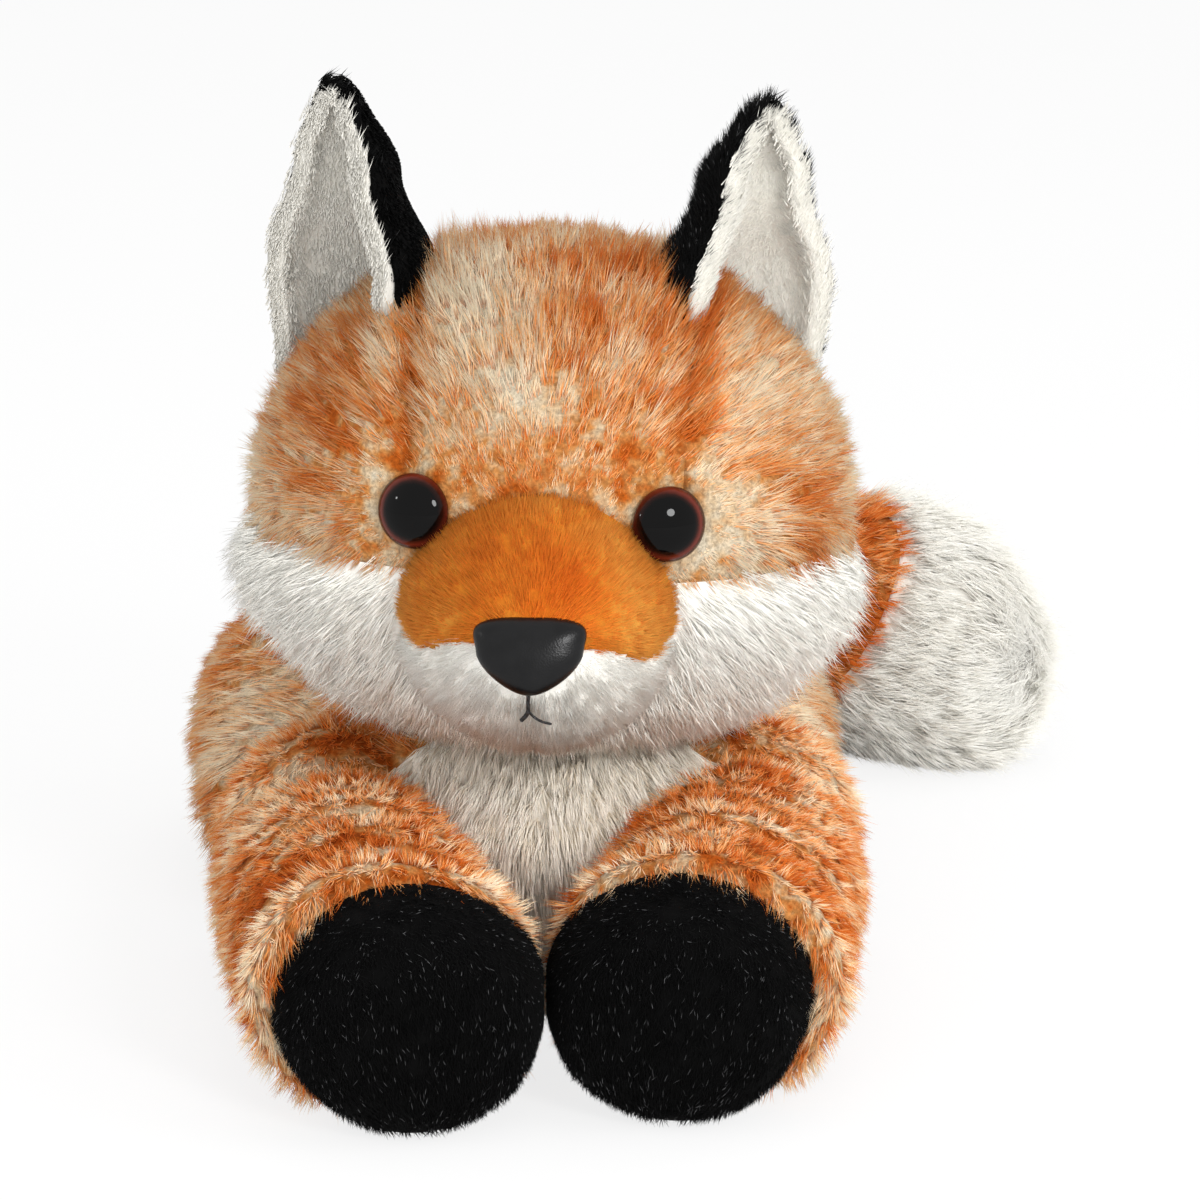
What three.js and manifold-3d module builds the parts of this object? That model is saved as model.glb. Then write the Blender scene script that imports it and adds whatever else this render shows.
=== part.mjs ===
// A plush fox that lies with its front paws forward and its tail curled to its left.
// Millimetres. +Z is up, the fox faces -Y and its own left is +X.
// The origin is on the floor, in the middle of the flat belly.

import * as THREE from 'three';
import { mergeVertices } from 'three/addons/utils/BufferGeometryUtils.js';
import Module from 'manifold-3d';

const wasm = await Module();
wasm.setup();

// Shared sizes
const fabricThickness = 3.5;
const seamGap = 0.3;
const floorTrim = 0.5;
const undersideBluntness = 5;
const cutOverrun = 40;

// Torso
const torsoWidth = 96;
const torsoHeight = 67;
const chestReach = 58;
const rumpReach = 124;
const chestEndHeight = 27;
const rumpEndHeight = 25;
const bibDepth = 34;
const bellySeamHeight = 15;
const torsoWidthShares = [[0, 0.82], [0.3, 1], [0.55, 0.96], [0.8, 1], [1, 0.9]];
const torsoHeightShares = [[0, 0.8], [0.34, 1], [0.66, 1.02], [1, 0.92]];
const torsoBluntness = 2.8;

// Bag of pellets that weights the belly
const pelletBagWidth = 44;
const pelletBagLength = 60;
const pelletBagHeight = 26;
const pelletBagBack = 34;
const pelletBagLiftShare = 0.35;
const pelletBagShares = [[0, 1.1], [1, 1]];

// Head
const headWidth = 118;
const headDepth = 100;
const headHeight = 101;
const headForward = 25;
const headLift = 104;
const headTurnDeg = -7.6;
const headRollDeg = 2.4;
const foreheadWidth = 54;
const cheekSeamDrop = 8;
const cheekBack = 14;
const headWidthShares = [[0, 1.28], [0.22, 1.13], [0.48, 1], [0.75, 0.97], [1, 0.94]];
const headDepthShares = [[0, 1.02], [0.3, 1], [1, 1]];
const roundBluntness = 2;

// Neck, a dish of stuffing between the ball of the head and the bowl of the torso
const neckBallRadius = 50;
const neckDishThickness = 3.5;
const neckDishRadius = 25;
const neckReach = 60;
const neckPitchDeg = 67;
const headSeatRadius = 46;

// Muzzle
const muzzleWidth = 53;
const muzzleDepth = 54;
const muzzleHeight = 53;
const muzzleForward = 40;
const muzzleDrop = 15.5;
const lipSeamDrop = 0.5;
const muzzleWidthShares = [[0, 1.04], [0.5, 1], [1, 0.94]];
const muzzleDepthShares = [[0, 0.98], [0.5, 1], [1, 0.96]];

// Eyes, with their shanks and lock washers
const eyeRadius = 7.4;
const eyeDome = 4.6;
const eyeSink = 1.2;
const eyeSpacing = 50;
const eyeLift = 4.2;
const shankRadius = 2;
const shankLength = 8;
const washerRadius = 5.6;
const washerThickness = 1.6;
const washerClearance = 0.1;
const washerGap = 0.9;

// Nose
const noseWidth = 20.5;
const noseHeight = 14.5;
const noseDepth = 4.5;
const noseEdge = 3;
const noseTiltDeg = 20;
const noseLift = 0.5;
const noseTopShare = 0.45;
const noseCornerShare = 0.55;
const noseFlankShares = [0.85, 0.45];
const noseTipShares = [0.2, 1.15];

// Mouth stitch
const threadRadius = 0.6;
const mouthStart = 8.2;
const mouthLength = 4.6;
const mouthHook = 2.4;

// Ears
const earHeight = 63.5;
const earBaseWidth = 40;
const earTipWidth = 5.5;
const earSpread = 43;
const earShift = 3;
const earBack = 1;
const earRoot = 17;
const earFabric = 2.4;
const earCupDeg = 88;
const earOpenDeg = 50;
const earLean = 7;
const earWidthShares = [[0, 0.8], [0.38, 1], [0.72, 0.5], [1, 0]];

// Front legs
const limbBluntness = 3;
const legShift = 2;
const shoulderSpacing = 82;
const shoulderForward = 12;
const shoulderRadius = 25;
const foreSleeveLength = 89;
const foreSleeveWidth = 54;
const foreSleeveHeight = 47.5;
const foreBow = 3;
const forePawWidth = 50;
const forePawHeight = 45.5;
const forePawReach = 110;
const forePawRoot = 58;
const foreInwardDeg = 9.3;
const foreSwingDeg = 3.6;
const foreEndHeight = 22;
const foreWidthShares = [[0, 0.9], [0.3, 0.94], [0.7, 1], [1, 1]];
const foreHeightShares = [[0, 0.98], [0.5, 0.98], [1, 1]];

// Hind legs
const hipSpacing = 76;
const hipBack = 75;
const hipRadius = 29;
const thighLength = 46;
const thighWidth = 56;
const thighHeight = 57;
const hindPawWidth = 34;
const hindPawHeight = 32;
const hindPawReach = 60;
const hindPawRoot = 26;
const hindOutwardDeg = 9;
const hindBow = 2;
const hindEndHeight = 15;
const thighWidthShares = [[0, 1], [0.4, 1], [0.78, 0.72], [1, 0.62]];
const thighHeightShares = [[0, 1], [0.4, 0.97], [0.78, 0.64], [1, 0.57]];

// Tail
const tailRootBack = 112;
const tailRootSide = 4;
const tailRootRadius = 21;
const tailRootLift = 25;
const tailReach = 116;
const tailSweep = 35;
const tailWidth = 58;
const tailHeight = 58;
const tailEndHeight = 27;
const tailTipStart = 62;
const tailSeamTiltDeg = 28;
const tailSeamTurnDeg = 28;
const tailWidthShares = [[0, 0.74], [0.22, 0.74], [0.5, 0.92], [0.78, 1], [1, 0.96]];
const tailHeightShares = [[0, 0.72], [0.22, 0.72], [0.5, 0.94], [0.78, 1], [1, 0.96]];
const tailSideShares = [0, 0.3, 0.64, 0.88, 1];
const tailBackShares = [0, 1.02, 1.04, 0.34, -0.12];

// How finely the rounded forms are faceted: rings along, sides round
const torsoFacets = { rings: 10, sides: 20 };
const headFacets = { rings: 10, sides: 20 };
const muzzleFacets = { rings: 8, sides: 12 };
const limbFacets = { rings: 8, sides: 12 };
const tailFacets = { rings: 10, sides: 12 };
const fillFacets = { rings: 5, sides: 8 };
const tailFillFacets = { rings: 8, sides: 8 };
const innerRoomFacets = { rings: 10, sides: 12 };
const hingeBallFacets = { rings: 6, sides: 12 };
const neckBallFacets = { rings: 12, sides: 24 };
const zoneFacets = { rings: 6, sides: 12 };
const earFacets = { rings: 5, sides: 6 };
const stitchFacets = { rings: 6, sides: 6 };
const turnedSides = 12;
const eyeDomeSteps = 4;
const noseCurveSteps = 3;
const noseEdgeSteps = 2;
const surfaceStepShare = 0.01;

const reach = chestReach + rumpReach + cutOverrun;
const headCentre = new THREE.Vector3(0, -headForward, headLift);
const up = new THREE.Vector3(0, 0, 1);

// Colour, roughness and metalness of each material
const materials = {
  mottledPlush: { color: 0xd08a50, roughness: 0.95 },
  whitePlush: { color: 0xeceae4, roughness: 0.95 },
  creamPlush: { color: 0xe8dfcf, roughness: 0.95 },
  blackPlush: { color: 0x101010, roughness: 0.85 },
  orangePlush: { color: 0xcc6a1c, roughness: 0.9 },
  fibreFill: { color: 0xf4f4f2, roughness: 1 },
  pelletCloth: { color: 0xd9d4c6, roughness: 0.9 },
  eyePlastic: { color: 0x140806, roughness: 0.06 },
  nosePlastic: { color: 0x2b2d2e, roughness: 0.35 },
  washerPlastic: { color: 0xe6e6e2, roughness: 0.5 },
  blackThread: { color: 0x0c0c0c, roughness: 0.8 },
};

// Solids

function solidOf(geometry) {
  const bare = geometry.clone();
  bare.deleteAttribute('normal');
  bare.deleteAttribute('uv');
  const merged = mergeVertices(bare);
  const mesh = new wasm.Mesh({
    numProp: 3,
    vertProperties: new Float32Array(merged.attributes.position.array),
    triVerts: new Uint32Array(merged.index.array),
  });
  return new wasm.Manifold(mesh);
}

function geometryOf(solid) {
  const mesh = solid.getMesh();
  const geometry = new THREE.BufferGeometry();
  geometry.setAttribute('position', new THREE.BufferAttribute(new Float32Array(mesh.vertProperties), 3));
  geometry.setIndex(new THREE.BufferAttribute(new Uint32Array(mesh.triVerts), 1));
  geometry.computeVertexNormals();
  return geometry;
}

function cut(solid, ...cutters) {
  return cutters.reduce((left, cutter) => left.subtract(cutter), solid);
}

function join(first, ...others) {
  return others.reduce((whole, other) => whole.add(other), first);
}

// A box that runs past the whole fox wherever it is given no bounds.
function zone({ x = [-reach, reach], y = [-reach, reach], z = [-reach, reach] }) {
  const geometry = new THREE.BoxGeometry(x[1] - x[0], y[1] - y[0], z[1] - z[0]);
  geometry.translate((x[0] + x[1]) / 2, (y[0] + y[1]) / 2, (z[0] + z[1]) / 2);
  return solidOf(geometry);
}

// The bounds of all that lies further than a distance from the middle, on one side.
function besideMiddle(sign, distance) {
  return sign > 0 ? [distance, reach] : [-reach, -distance];
}

function ball(radius, centre, facets) {
  const geometry = new THREE.SphereGeometry(radius, facets.sides, facets.rings);
  geometry.rotateX(Math.PI / 2);
  geometry.translate(centre.x, centre.y, centre.z);
  return solidOf(geometry);
}

// The radius of a faceted seat that a faceted ball can turn in, about one upright axis or any axis.
function seatRadius(radius, facets, anyAxis) {
  const upright = Math.cos(Math.PI / facets.sides);
  const tilted = anyAxis ? Math.cos(Math.PI / (2 * facets.rings)) : 1;
  return (radius + seamGap) / (upright * tilted);
}

// A share that runs smoothly through a table of [place, share].
function shareAt(shares, place) {
  let next = 1;
  while (next < shares.length - 1 && place > shares[next][0]) {
    next += 1;
  }
  const [fromPlace, fromShare] = shares[next - 1];
  const [toPlace, toShare] = shares[next];
  const along = THREE.MathUtils.smoothstep(place, fromPlace, toPlace);
  return THREE.MathUtils.lerp(fromShare, toShare, along);
}

// How full a rounded form is at a place along it: nothing at its ends, full in its middle.
function fullness(place, bluntness) {
  const offMiddle = Math.abs(2 * place - 1);
  return Math.max(0, 1 - offMiddle ** bluntness) ** (1 / bluntness);
}

// A closed skin of rings between two end points. pointAt(place, angle) gives each point.
function closedLoft(facets, pointAt) {
  const corners = [];
  const faces = [];
  const firstTip = 0;
  corners.push(pointAt(0, 0));
  for (let ring = 1; ring < facets.rings; ring += 1) {
    const place = (1 - Math.cos(Math.PI * ring / facets.rings)) / 2;
    for (let side = 0; side < facets.sides; side += 1) {
      corners.push(pointAt(place, 2 * Math.PI * side / facets.sides));
    }
  }
  const lastTip = corners.length;
  corners.push(pointAt(1, 0));
  const at = (ring, side) => 1 + (ring - 1) * facets.sides + side % facets.sides;
  for (let side = 0; side < facets.sides; side += 1) {
    faces.push(firstTip, at(1, side + 1), at(1, side));
    faces.push(lastTip, at(facets.rings - 1, side), at(facets.rings - 1, side + 1));
    for (let ring = 1; ring < facets.rings - 1; ring += 1) {
      faces.push(at(ring, side), at(ring, side + 1), at(ring + 1, side + 1));
      faces.push(at(ring, side), at(ring + 1, side + 1), at(ring + 1, side));
    }
  }
  const geometry = new THREE.BufferGeometry();
  const numbers = corners.flatMap((corner) => corner.toArray());
  geometry.setAttribute('position', new THREE.BufferAttribute(new Float32Array(numbers), 3));
  geometry.setIndex(faces);
  return solidOf(geometry);
}

// A stuffed form that lies on the floor along a spine, pressed flat below, and rounds up at both ends.
function restingForm(form, facets, inset = 0) {
  const length = form.spine.getLength();
  const pointAt = (place, angle) => {
    const along = (inset + place * (length - 2 * inset)) / length;
    const full = fullness(place, form.bluntness);
    const middle = form.spine.getPointAt(along);
    const tangent = form.spine.getTangentAt(along);
    const across = new THREE.Vector3().crossVectors(up, tangent).normalize();
    const halfWidth = (form.width * shareAt(form.widthShares, place) / 2 - inset) * full;
    const endHeight = THREE.MathUtils.lerp(form.endHeights[0], form.endHeights[1], place);
    const top = THREE.MathUtils.lerp(endHeight, form.height * shareAt(form.heightShares, place) - inset, full);
    const bottom = THREE.MathUtils.lerp(endHeight, inset - floorTrim, fullness(place, undersideBluntness));
    middle.addScaledVector(across, halfWidth * Math.cos(angle));
    middle.z = (top + bottom) / 2 + (top - bottom) / 2 * Math.sin(angle);
    return middle;
  };
  return closedLoft(facets, pointAt);
}

// A round stuffed form about an upright axis, such as the head.
function roundForm(form, facets, inset = 0) {
  const pointAt = (place, angle) => {
    const full = fullness(place, roundBluntness);
    const halfWidth = (form.width / 2 - inset) * shareAt(form.widthShares, place) * full;
    const halfDepth = (form.depth / 2 - inset) * shareAt(form.depthShares, place) * full;
    const halfHeight = form.height / 2 - inset;
    return new THREE.Vector3(
      form.centre.x + halfWidth * Math.cos(angle),
      form.centre.y + halfDepth * Math.sin(angle),
      form.centre.z + halfHeight * (2 * place - 1),
    );
  };
  return closedLoft(facets, pointAt);
}

// The front of a round form at a place beside and above its middle, and the way out of it there.
function frontOf(form, aside, above) {
  const surfaceAt = (x, z) => {
    const place = 0.5 + z / form.height;
    const full = fullness(place, roundBluntness);
    const halfWidth = form.width / 2 * shareAt(form.widthShares, place) * full;
    const halfDepth = form.depth / 2 * shareAt(form.depthShares, place) * full;
    const y = -halfDepth * Math.sqrt(1 - (x / halfWidth) ** 2);
    return new THREE.Vector3(form.centre.x + x, form.centre.y + y, form.centre.z + z);
  };
  const step = form.width * surfaceStepShare;
  const point = surfaceAt(aside, above);
  const alongX = surfaceAt(aside + step, above).sub(point);
  const alongZ = surfaceAt(aside, above + step).sub(point);
  const outward = new THREE.Vector3().crossVectors(alongX, alongZ).normalize();
  return { point, outward };
}

// A turned piece on a seat: its axis is the way out of the seat, and its zero is the seat's surface.
function turned(profile, seat) {
  const outline = profile.map(([radius, out]) => new THREE.Vector2(radius, out));
  const geometry = new THREE.LatheGeometry(outline, turnedSides);
  const turn = new THREE.Quaternion().setFromUnitVectors(new THREE.Vector3(0, 1, 0), seat.outward);
  geometry.applyQuaternion(turn);
  geometry.translate(seat.point.x, seat.point.y, seat.point.z);
  return solidOf(geometry);
}

// A thick sheet between two offsets of one surface. surfaceAt(across, along) gives a point and its way out.
function sheetSolid(facets, surfaceAt, nearOffset, farOffset) {
  const corners = [];
  const faces = [];
  const layer = (facets.sides + 1) * (facets.rings + 1);
  for (const offset of [nearOffset, farOffset]) {
    for (let ring = 0; ring <= facets.rings; ring += 1) {
      for (let side = 0; side <= facets.sides; side += 1) {
        const { point, outward } = surfaceAt(2 * side / facets.sides - 1, ring / facets.rings);
        corners.push(point.clone().addScaledVector(outward, offset));
      }
    }
  }
  const last = facets.sides;
  const top = facets.rings;
  const at = (far, ring, side) => far * layer + ring * (facets.sides + 1) + side;
  const quad = (a, b, c, d) => faces.push(a, b, c, a, c, d);
  for (let ring = 0; ring < facets.rings; ring += 1) {
    for (let side = 0; side < facets.sides; side += 1) {
      quad(at(1, ring, side), at(1, ring, side + 1), at(1, ring + 1, side + 1), at(1, ring + 1, side));
      quad(at(0, ring, side), at(0, ring + 1, side), at(0, ring + 1, side + 1), at(0, ring, side + 1));
    }
    quad(at(0, ring, 0), at(1, ring, 0), at(1, ring + 1, 0), at(0, ring + 1, 0));
    quad(at(1, ring, last), at(0, ring, last), at(0, ring + 1, last), at(1, ring + 1, last));
  }
  for (let side = 0; side < facets.sides; side += 1) {
    quad(at(0, 0, side), at(0, 0, side + 1), at(1, 0, side + 1), at(1, 0, side));
    quad(at(0, top, side), at(1, top, side), at(1, top, side + 1), at(0, top, side + 1));
  }
  const geometry = new THREE.BufferGeometry();
  const numbers = corners.flatMap((corner) => corner.toArray());
  geometry.setAttribute('position', new THREE.BufferAttribute(new Float32Array(numbers), 3));
  geometry.setIndex(faces);
  return solidOf(geometry);
}

function addPiece(group, name, solid, materialName) {
  const { color, roughness } = materials[materialName];
  const material = new THREE.MeshStandardMaterial({ color, roughness, metalness: 0 });
  const mesh = new THREE.Mesh(geometryOf(solid), material);
  mesh.name = name;
  group.add(mesh);
}

const fillInset = fabricThickness + seamGap;
const floor = zone({ z: [-reach, 0] });

// The joint seats: balls about each pivot
const neckDishInner = seatRadius(neckBallRadius, neckBallFacets, true);
const neckDishOuter = neckDishInner + neckDishThickness;
const neckBowl = ball(seatRadius(neckDishOuter, neckBallFacets, false), headCentre, neckBallFacets);
const sides = [{ label: 'left', sign: 1 }, { label: 'right', sign: -1 }];
const shoulderAt = (sign) => new THREE.Vector3(
  sign * shoulderSpacing / 2 - legShift, -shoulderForward, shoulderRadius - floorTrim);
const hipAt = (sign) => new THREE.Vector3(
  sign * hipSpacing / 2 - legShift, hipBack, hipRadius - floorTrim);
const tailRoot = new THREE.Vector3(tailRootSide, tailRootBack, tailRootLift);

function seatCutters(facets, anyAxis) {
  const hingeSeat = (radius, centre) => ball(seatRadius(radius, facets, anyAxis), centre, facets);
  const cutters = [neckBowl, hingeSeat(tailRootRadius, tailRoot)];
  for (const { sign } of sides) {
    cutters.push(hingeSeat(shoulderRadius, shoulderAt(sign)), hingeSeat(hipRadius, hipAt(sign)));
  }
  return cutters;
}

// Torso: stuffing with a bag of pellets, under two back panels, a belly panel and a bib

const torsoForm = {
  spine: new THREE.LineCurve3(new THREE.Vector3(0, -chestReach, 0), new THREE.Vector3(0, rumpReach, 0)),
  width: torsoWidth,
  height: torsoHeight,
  endHeights: [chestEndHeight, rumpEndHeight],
  widthShares: torsoWidthShares,
  heightShares: torsoHeightShares,
  bluntness: torsoBluntness,
};
const pelletBagForm = {
  centre: new THREE.Vector3(0, pelletBagBack, fillInset + pelletBagHeight * pelletBagLiftShare),
  width: pelletBagWidth,
  depth: pelletBagLength,
  height: pelletBagHeight,
  widthShares: pelletBagShares,
  depthShares: pelletBagShares,
};

// The room that the torso takes, for what is sewn to it, grown by the sewn piece's own inset.
function torsoRoom(inset) {
  return restingForm(torsoForm, inset > 0 ? innerRoomFacets : torsoFacets, -seamGap - inset);
}

function makeTorso(group) {
  const seats = seatCutters(hingeBallFacets, false);
  const skin = cut(restingForm(torsoForm, torsoFacets), restingForm(torsoForm, fillFacets, fabricThickness));
  const shell = cut(skin, floor, ...seats);
  const bibSeam = bibDepth - chestReach;
  const behindBib = [bibSeam, reach];
  const front = zone({ y: [-reach, bibSeam - seamGap] });
  const under = zone({ y: behindBib, z: [-reach, bellySeamHeight] });
  addPiece(group, 'chest_bib', shell.intersect(front), 'creamPlush');
  addPiece(group, 'belly_panel', shell.intersect(under), 'creamPlush');
  for (const { label, sign } of sides) {
    const flank = zone({
      x: besideMiddle(sign, seamGap / 2), y: behindBib, z: [bellySeamHeight + seamGap, reach],
    });
    addPiece(group, `back_panel_${label}`, shell.intersect(flank), 'mottledPlush');
  }
  const fill = restingForm(torsoForm, fillFacets, fillInset);
  const bag = roundForm(pelletBagForm, fillFacets).intersect(fill);
  const bagRoom = roundForm(pelletBagForm, fillFacets, -seamGap);
  addPiece(group, 'body_stuffing', cut(fill, bagRoom, ...seatCutters(zoneFacets, true)), 'fibreFill');
  addPiece(group, 'pellet_bag', bag, 'pelletCloth');
}

// Neck

const neckPitch = THREE.MathUtils.degToRad(neckPitchDeg);
const neckWay = new THREE.Vector3(0, Math.cos(neckPitch), -Math.sin(neckPitch));

function makeNeck(group) {
  const rim = ball(neckDishRadius, headCentre.clone().addScaledVector(neckWay, neckReach), zoneFacets);
  const outer = ball(neckDishOuter, headCentre, neckBallFacets);
  const inner = ball(neckDishInner, headCentre, neckBallFacets);
  const dish = cut(outer, inner).intersect(rim);
  addPiece(group, 'neck_stuffing', dish, 'fibreFill');
}

// Head, about its own centre

const headForm = {
  centre: new THREE.Vector3(),
  width: headWidth,
  depth: headDepth,
  height: headHeight,
  widthShares: headWidthShares,
  depthShares: headDepthShares,
};
const muzzleForm = {
  centre: new THREE.Vector3(0, -muzzleForward, -muzzleDrop),
  width: muzzleWidth,
  depth: muzzleDepth,
  height: muzzleHeight,
  widthShares: muzzleWidthShares,
  depthShares: muzzleDepthShares,
};

// An eye: a dome with a flat back and a shank.
function eyeSolid(seat) {
  const dome = Array.from({ length: eyeDomeSteps }, (_, step) => {
    const angle = Math.PI / 2 * step / eyeDomeSteps;
    return [eyeRadius * Math.cos(angle), eyeDome * Math.sin(angle) - eyeSink];
  });
  dome.push([0, eyeDome - eyeSink]);
  return turned([[0, -shankLength], [shankRadius, -shankLength], [shankRadius, -eyeSink], ...dome], seat);
}

function eyeRoom(seat) {
  const bore = shankRadius + seamGap;
  const rim = eyeRadius + seamGap;
  const end = -shankLength - seamGap;
  const back = -eyeSink - seamGap;
  return turned([[0, end], [bore, end], [bore, back], [rim, back], [rim, eyeDome], [0, eyeDome]], seat);
}

// A lock washer behind a panel: a closed ring on the shank.
function washerSolid(seat) {
  const inner = shankRadius + washerClearance;
  const front = -fabricThickness - washerGap;
  const back = front - washerThickness;
  const profile = [[inner, back], [washerRadius, back], [washerRadius, front], [inner, front], [inner, back]];
  return turned(profile, seat);
}

function washerRoom(seat) {
  const front = seamGap - fabricThickness - washerGap;
  const back = front - washerThickness - 2 * seamGap;
  const rim = washerRadius + seamGap;
  return turned([[0, back], [rim, back], [rim, front], [0, front]], seat);
}

// The outline of the nose's flat middle, a triangle with soft corners and its tip down.
function noseShape() {
  const half = noseWidth / 2 - noseEdge;
  const top = noseHeight / 2 - noseEdge;
  const flat = half * noseTopShare;
  const corner = top * noseCornerShare;
  const flank = half * noseFlankShares[0];
  const flankDrop = -top * noseFlankShares[1];
  const tip = half * noseTipShares[0];
  const shape = new THREE.Shape();
  shape.moveTo(-half, corner);
  shape.quadraticCurveTo(-half, top, -flat, top);
  shape.lineTo(flat, top);
  shape.quadraticCurveTo(half, top, half, corner);
  shape.quadraticCurveTo(flank, flankDrop, tip, -top);
  shape.quadraticCurveTo(0, -top * noseTipShares[1], -tip, -top);
  shape.quadraticCurveTo(-flank, flankDrop, -half, corner);
  return shape;
}

// The nose's button, its flat back on the seat, or with a clearance the room that it takes.
function noseSolid(seat, clearance) {
  const geometry = new THREE.ExtrudeGeometry(noseShape(), {
    depth: noseDepth - noseEdge + 2 * clearance,
    bevelThickness: noseEdge,
    bevelSize: noseEdge + clearance,
    bevelSegments: noseEdgeSteps,
    curveSegments: noseCurveSteps,
  });
  const turn = new THREE.Quaternion().setFromUnitVectors(up, seat.outward);
  geometry.applyQuaternion(turn);
  const start = seat.point.clone().addScaledVector(seat.outward, -clearance);
  geometry.translate(start.x, start.y, start.z);
  const shank = turned([
    [0, -shankLength - clearance], [shankRadius + clearance, -shankLength - clearance],
    [shankRadius + clearance, noseEdge / 2], [0, noseEdge / 2],
  ], seat);
  return join(solidOf(geometry), shank);
}

function noseSeat() {
  const seat = frontOf(muzzleForm, 0, noseLift);
  const tilt = THREE.MathUtils.degToRad(noseTiltDeg);
  seat.outward.set(0, -Math.cos(tilt), Math.sin(tilt));
  return seat;
}

// The ear's middle surface. Across runs from -1 to 1 round the cup, along from the root to the tip.
function earSurface(sign) {
  const cup = THREE.MathUtils.degToRad(earCupDeg);
  const open = THREE.MathUtils.degToRad(earOpenDeg);
  const opening = new THREE.Vector3(sign * Math.sin(open), -Math.cos(open), 0);
  const across = new THREE.Vector3().crossVectors(opening, up).normalize();
  return (aside, along) => {
    const chord = THREE.MathUtils.lerp(earTipWidth, earBaseWidth, shareAt(earWidthShares, along));
    const radius = chord / (2 * Math.sin(cup));
    const angle = aside * cup;
    const outward = opening.clone().multiplyScalar(-Math.cos(angle)).addScaledVector(across, Math.sin(angle));
    const middle = new THREE.Vector3(
      sign * earSpread - earShift, earBack - earLean * along, earRoot + earHeight * along);
    const point = middle.addScaledVector(outward, radius).addScaledVector(opening, radius * Math.cos(cup));
    return { point, outward };
  };
}

function makeEars(group, headSkin) {
  for (const { label, sign } of sides) {
    const surfaceAt = earSurface(sign);
    const back = sheetSolid(earFacets, surfaceAt, seamGap / 2, seamGap / 2 + earFabric);
    const lining = sheetSolid(earFacets, surfaceAt, -seamGap / 2 - earFabric, -seamGap / 2);
    addPiece(group, `ear_back_${label}`, cut(back, headSkin), 'blackPlush');
    addPiece(group, `ear_lining_${label}`, cut(lining, headSkin), 'whitePlush');
  }
}

function makeHeadPanels(group, shell) {
  const half = foreheadWidth / 2;
  const crown = cut(shell, zone({ y: [-reach, cheekBack + seamGap], z: [-reach, seamGap - cheekSeamDrop] }));
  addPiece(group, 'forehead_panel', crown.intersect(zone({ x: [-half, half] })), 'mottledPlush');
  for (const { label, sign } of sides) {
    const headSide = zone({ x: besideMiddle(sign, half + seamGap) });
    const cheek = zone({
      x: besideMiddle(sign, seamGap / 2), y: [-reach, cheekBack], z: [-reach, -cheekSeamDrop],
    });
    addPiece(group, `head_side_${label}`, crown.intersect(headSide), 'mottledPlush');
    addPiece(group, `cheek_${label}`, shell.intersect(cheek), 'whitePlush');
  }
}

function makeMuzzle(group, headRoom, rooms) {
  const skin = cut(roundForm(muzzleForm, muzzleFacets), roundForm(muzzleForm, fillFacets, fabricThickness));
  const shell = cut(skin, headRoom, ...rooms);
  const seam = -muzzleDrop - lipSeamDrop;
  addPiece(group, 'muzzle_top', shell.intersect(zone({ z: [seam, reach] })), 'orangePlush');
  addPiece(group, 'muzzle_lower', shell.intersect(zone({ z: [-reach, seam - seamGap] })), 'whitePlush');
}

// A short thread that runs down from the nose and hooks to the side, on the muzzle's surface.
function makeMouth(group) {
  const corner = mouthStart + mouthLength;
  const route = [[0, -mouthStart], [0, -corner], [mouthHook, -corner - mouthHook / 2]];
  const clear = threadRadius + seamGap;
  const points = route.map(([aside, above]) => {
    const { point, outward } = frontOf(muzzleForm, aside, above);
    return point.addScaledVector(outward, clear);
  });
  const section = new THREE.Shape();
  section.absarc(0, 0, threadRadius, 0, 2 * Math.PI);
  const geometry = new THREE.ExtrudeGeometry(section, {
    extrudePath: new THREE.CatmullRomCurve3(points),
    steps: stitchFacets.rings,
    curveSegments: stitchFacets.sides,
    bevelEnabled: false,
  });
  addPiece(group, 'mouth_stitch', solidOf(geometry), 'blackThread');
}

function makeHead(group) {
  const whole = roundForm(headForm, headFacets);
  const seatZone = ball(headSeatRadius, neckWay.clone().multiplyScalar(neckReach), zoneFacets);
  const beyondBall = cut(seatZone, ball(neckBallRadius, headForm.centre, neckBallFacets));
  const muzzleRoom = roundForm(muzzleForm, muzzleFacets, -seamGap);
  const seats = sides.map(({ label, sign }) => (
    { label, ...frontOf(headForm, sign * eyeSpacing / 2, eyeLift) }));
  const eyeRooms = seats.map((seat) => eyeRoom(seat));
  const nose = noseSeat();
  const noseRoom = noseSolid(nose, seamGap);
  const washerRooms = [...seats, nose].map(washerRoom);

  const headInner = roundForm(headForm, fillFacets, fabricThickness);
  const shell = cut(whole, headInner, beyondBall, muzzleRoom, ...eyeRooms, ...washerRooms);
  makeHeadPanels(group, shell);
  makeMuzzle(group, headInner, [noseRoom, ...eyeRooms, ...washerRooms]);

  const headFill = roundForm(headForm, fillFacets, fillInset);
  const muzzleFill = roundForm(muzzleForm, fillFacets, fillInset);
  const fill = cut(join(headFill, muzzleFill), beyondBall, noseRoom, ...eyeRooms, ...washerRooms);
  addPiece(group, 'head_stuffing', fill, 'fibreFill');

  for (const seat of seats) {
    addPiece(group, `eye_${seat.label}`, eyeSolid(seat), 'eyePlastic');
    addPiece(group, `eye_washer_${seat.label}`, washerSolid(seat), 'washerPlastic');
  }
  addPiece(group, 'nose', noseSolid(nose, 0), 'nosePlastic');
  addPiece(group, 'nose_washer', washerSolid(nose), 'washerPlastic');
  makeMouth(group);
  makeEars(group, roundForm(headForm, headFacets, -seamGap));
}

// Legs: each is a sleeve with a ball at its joint, a paw and the stuffing in both

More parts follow.
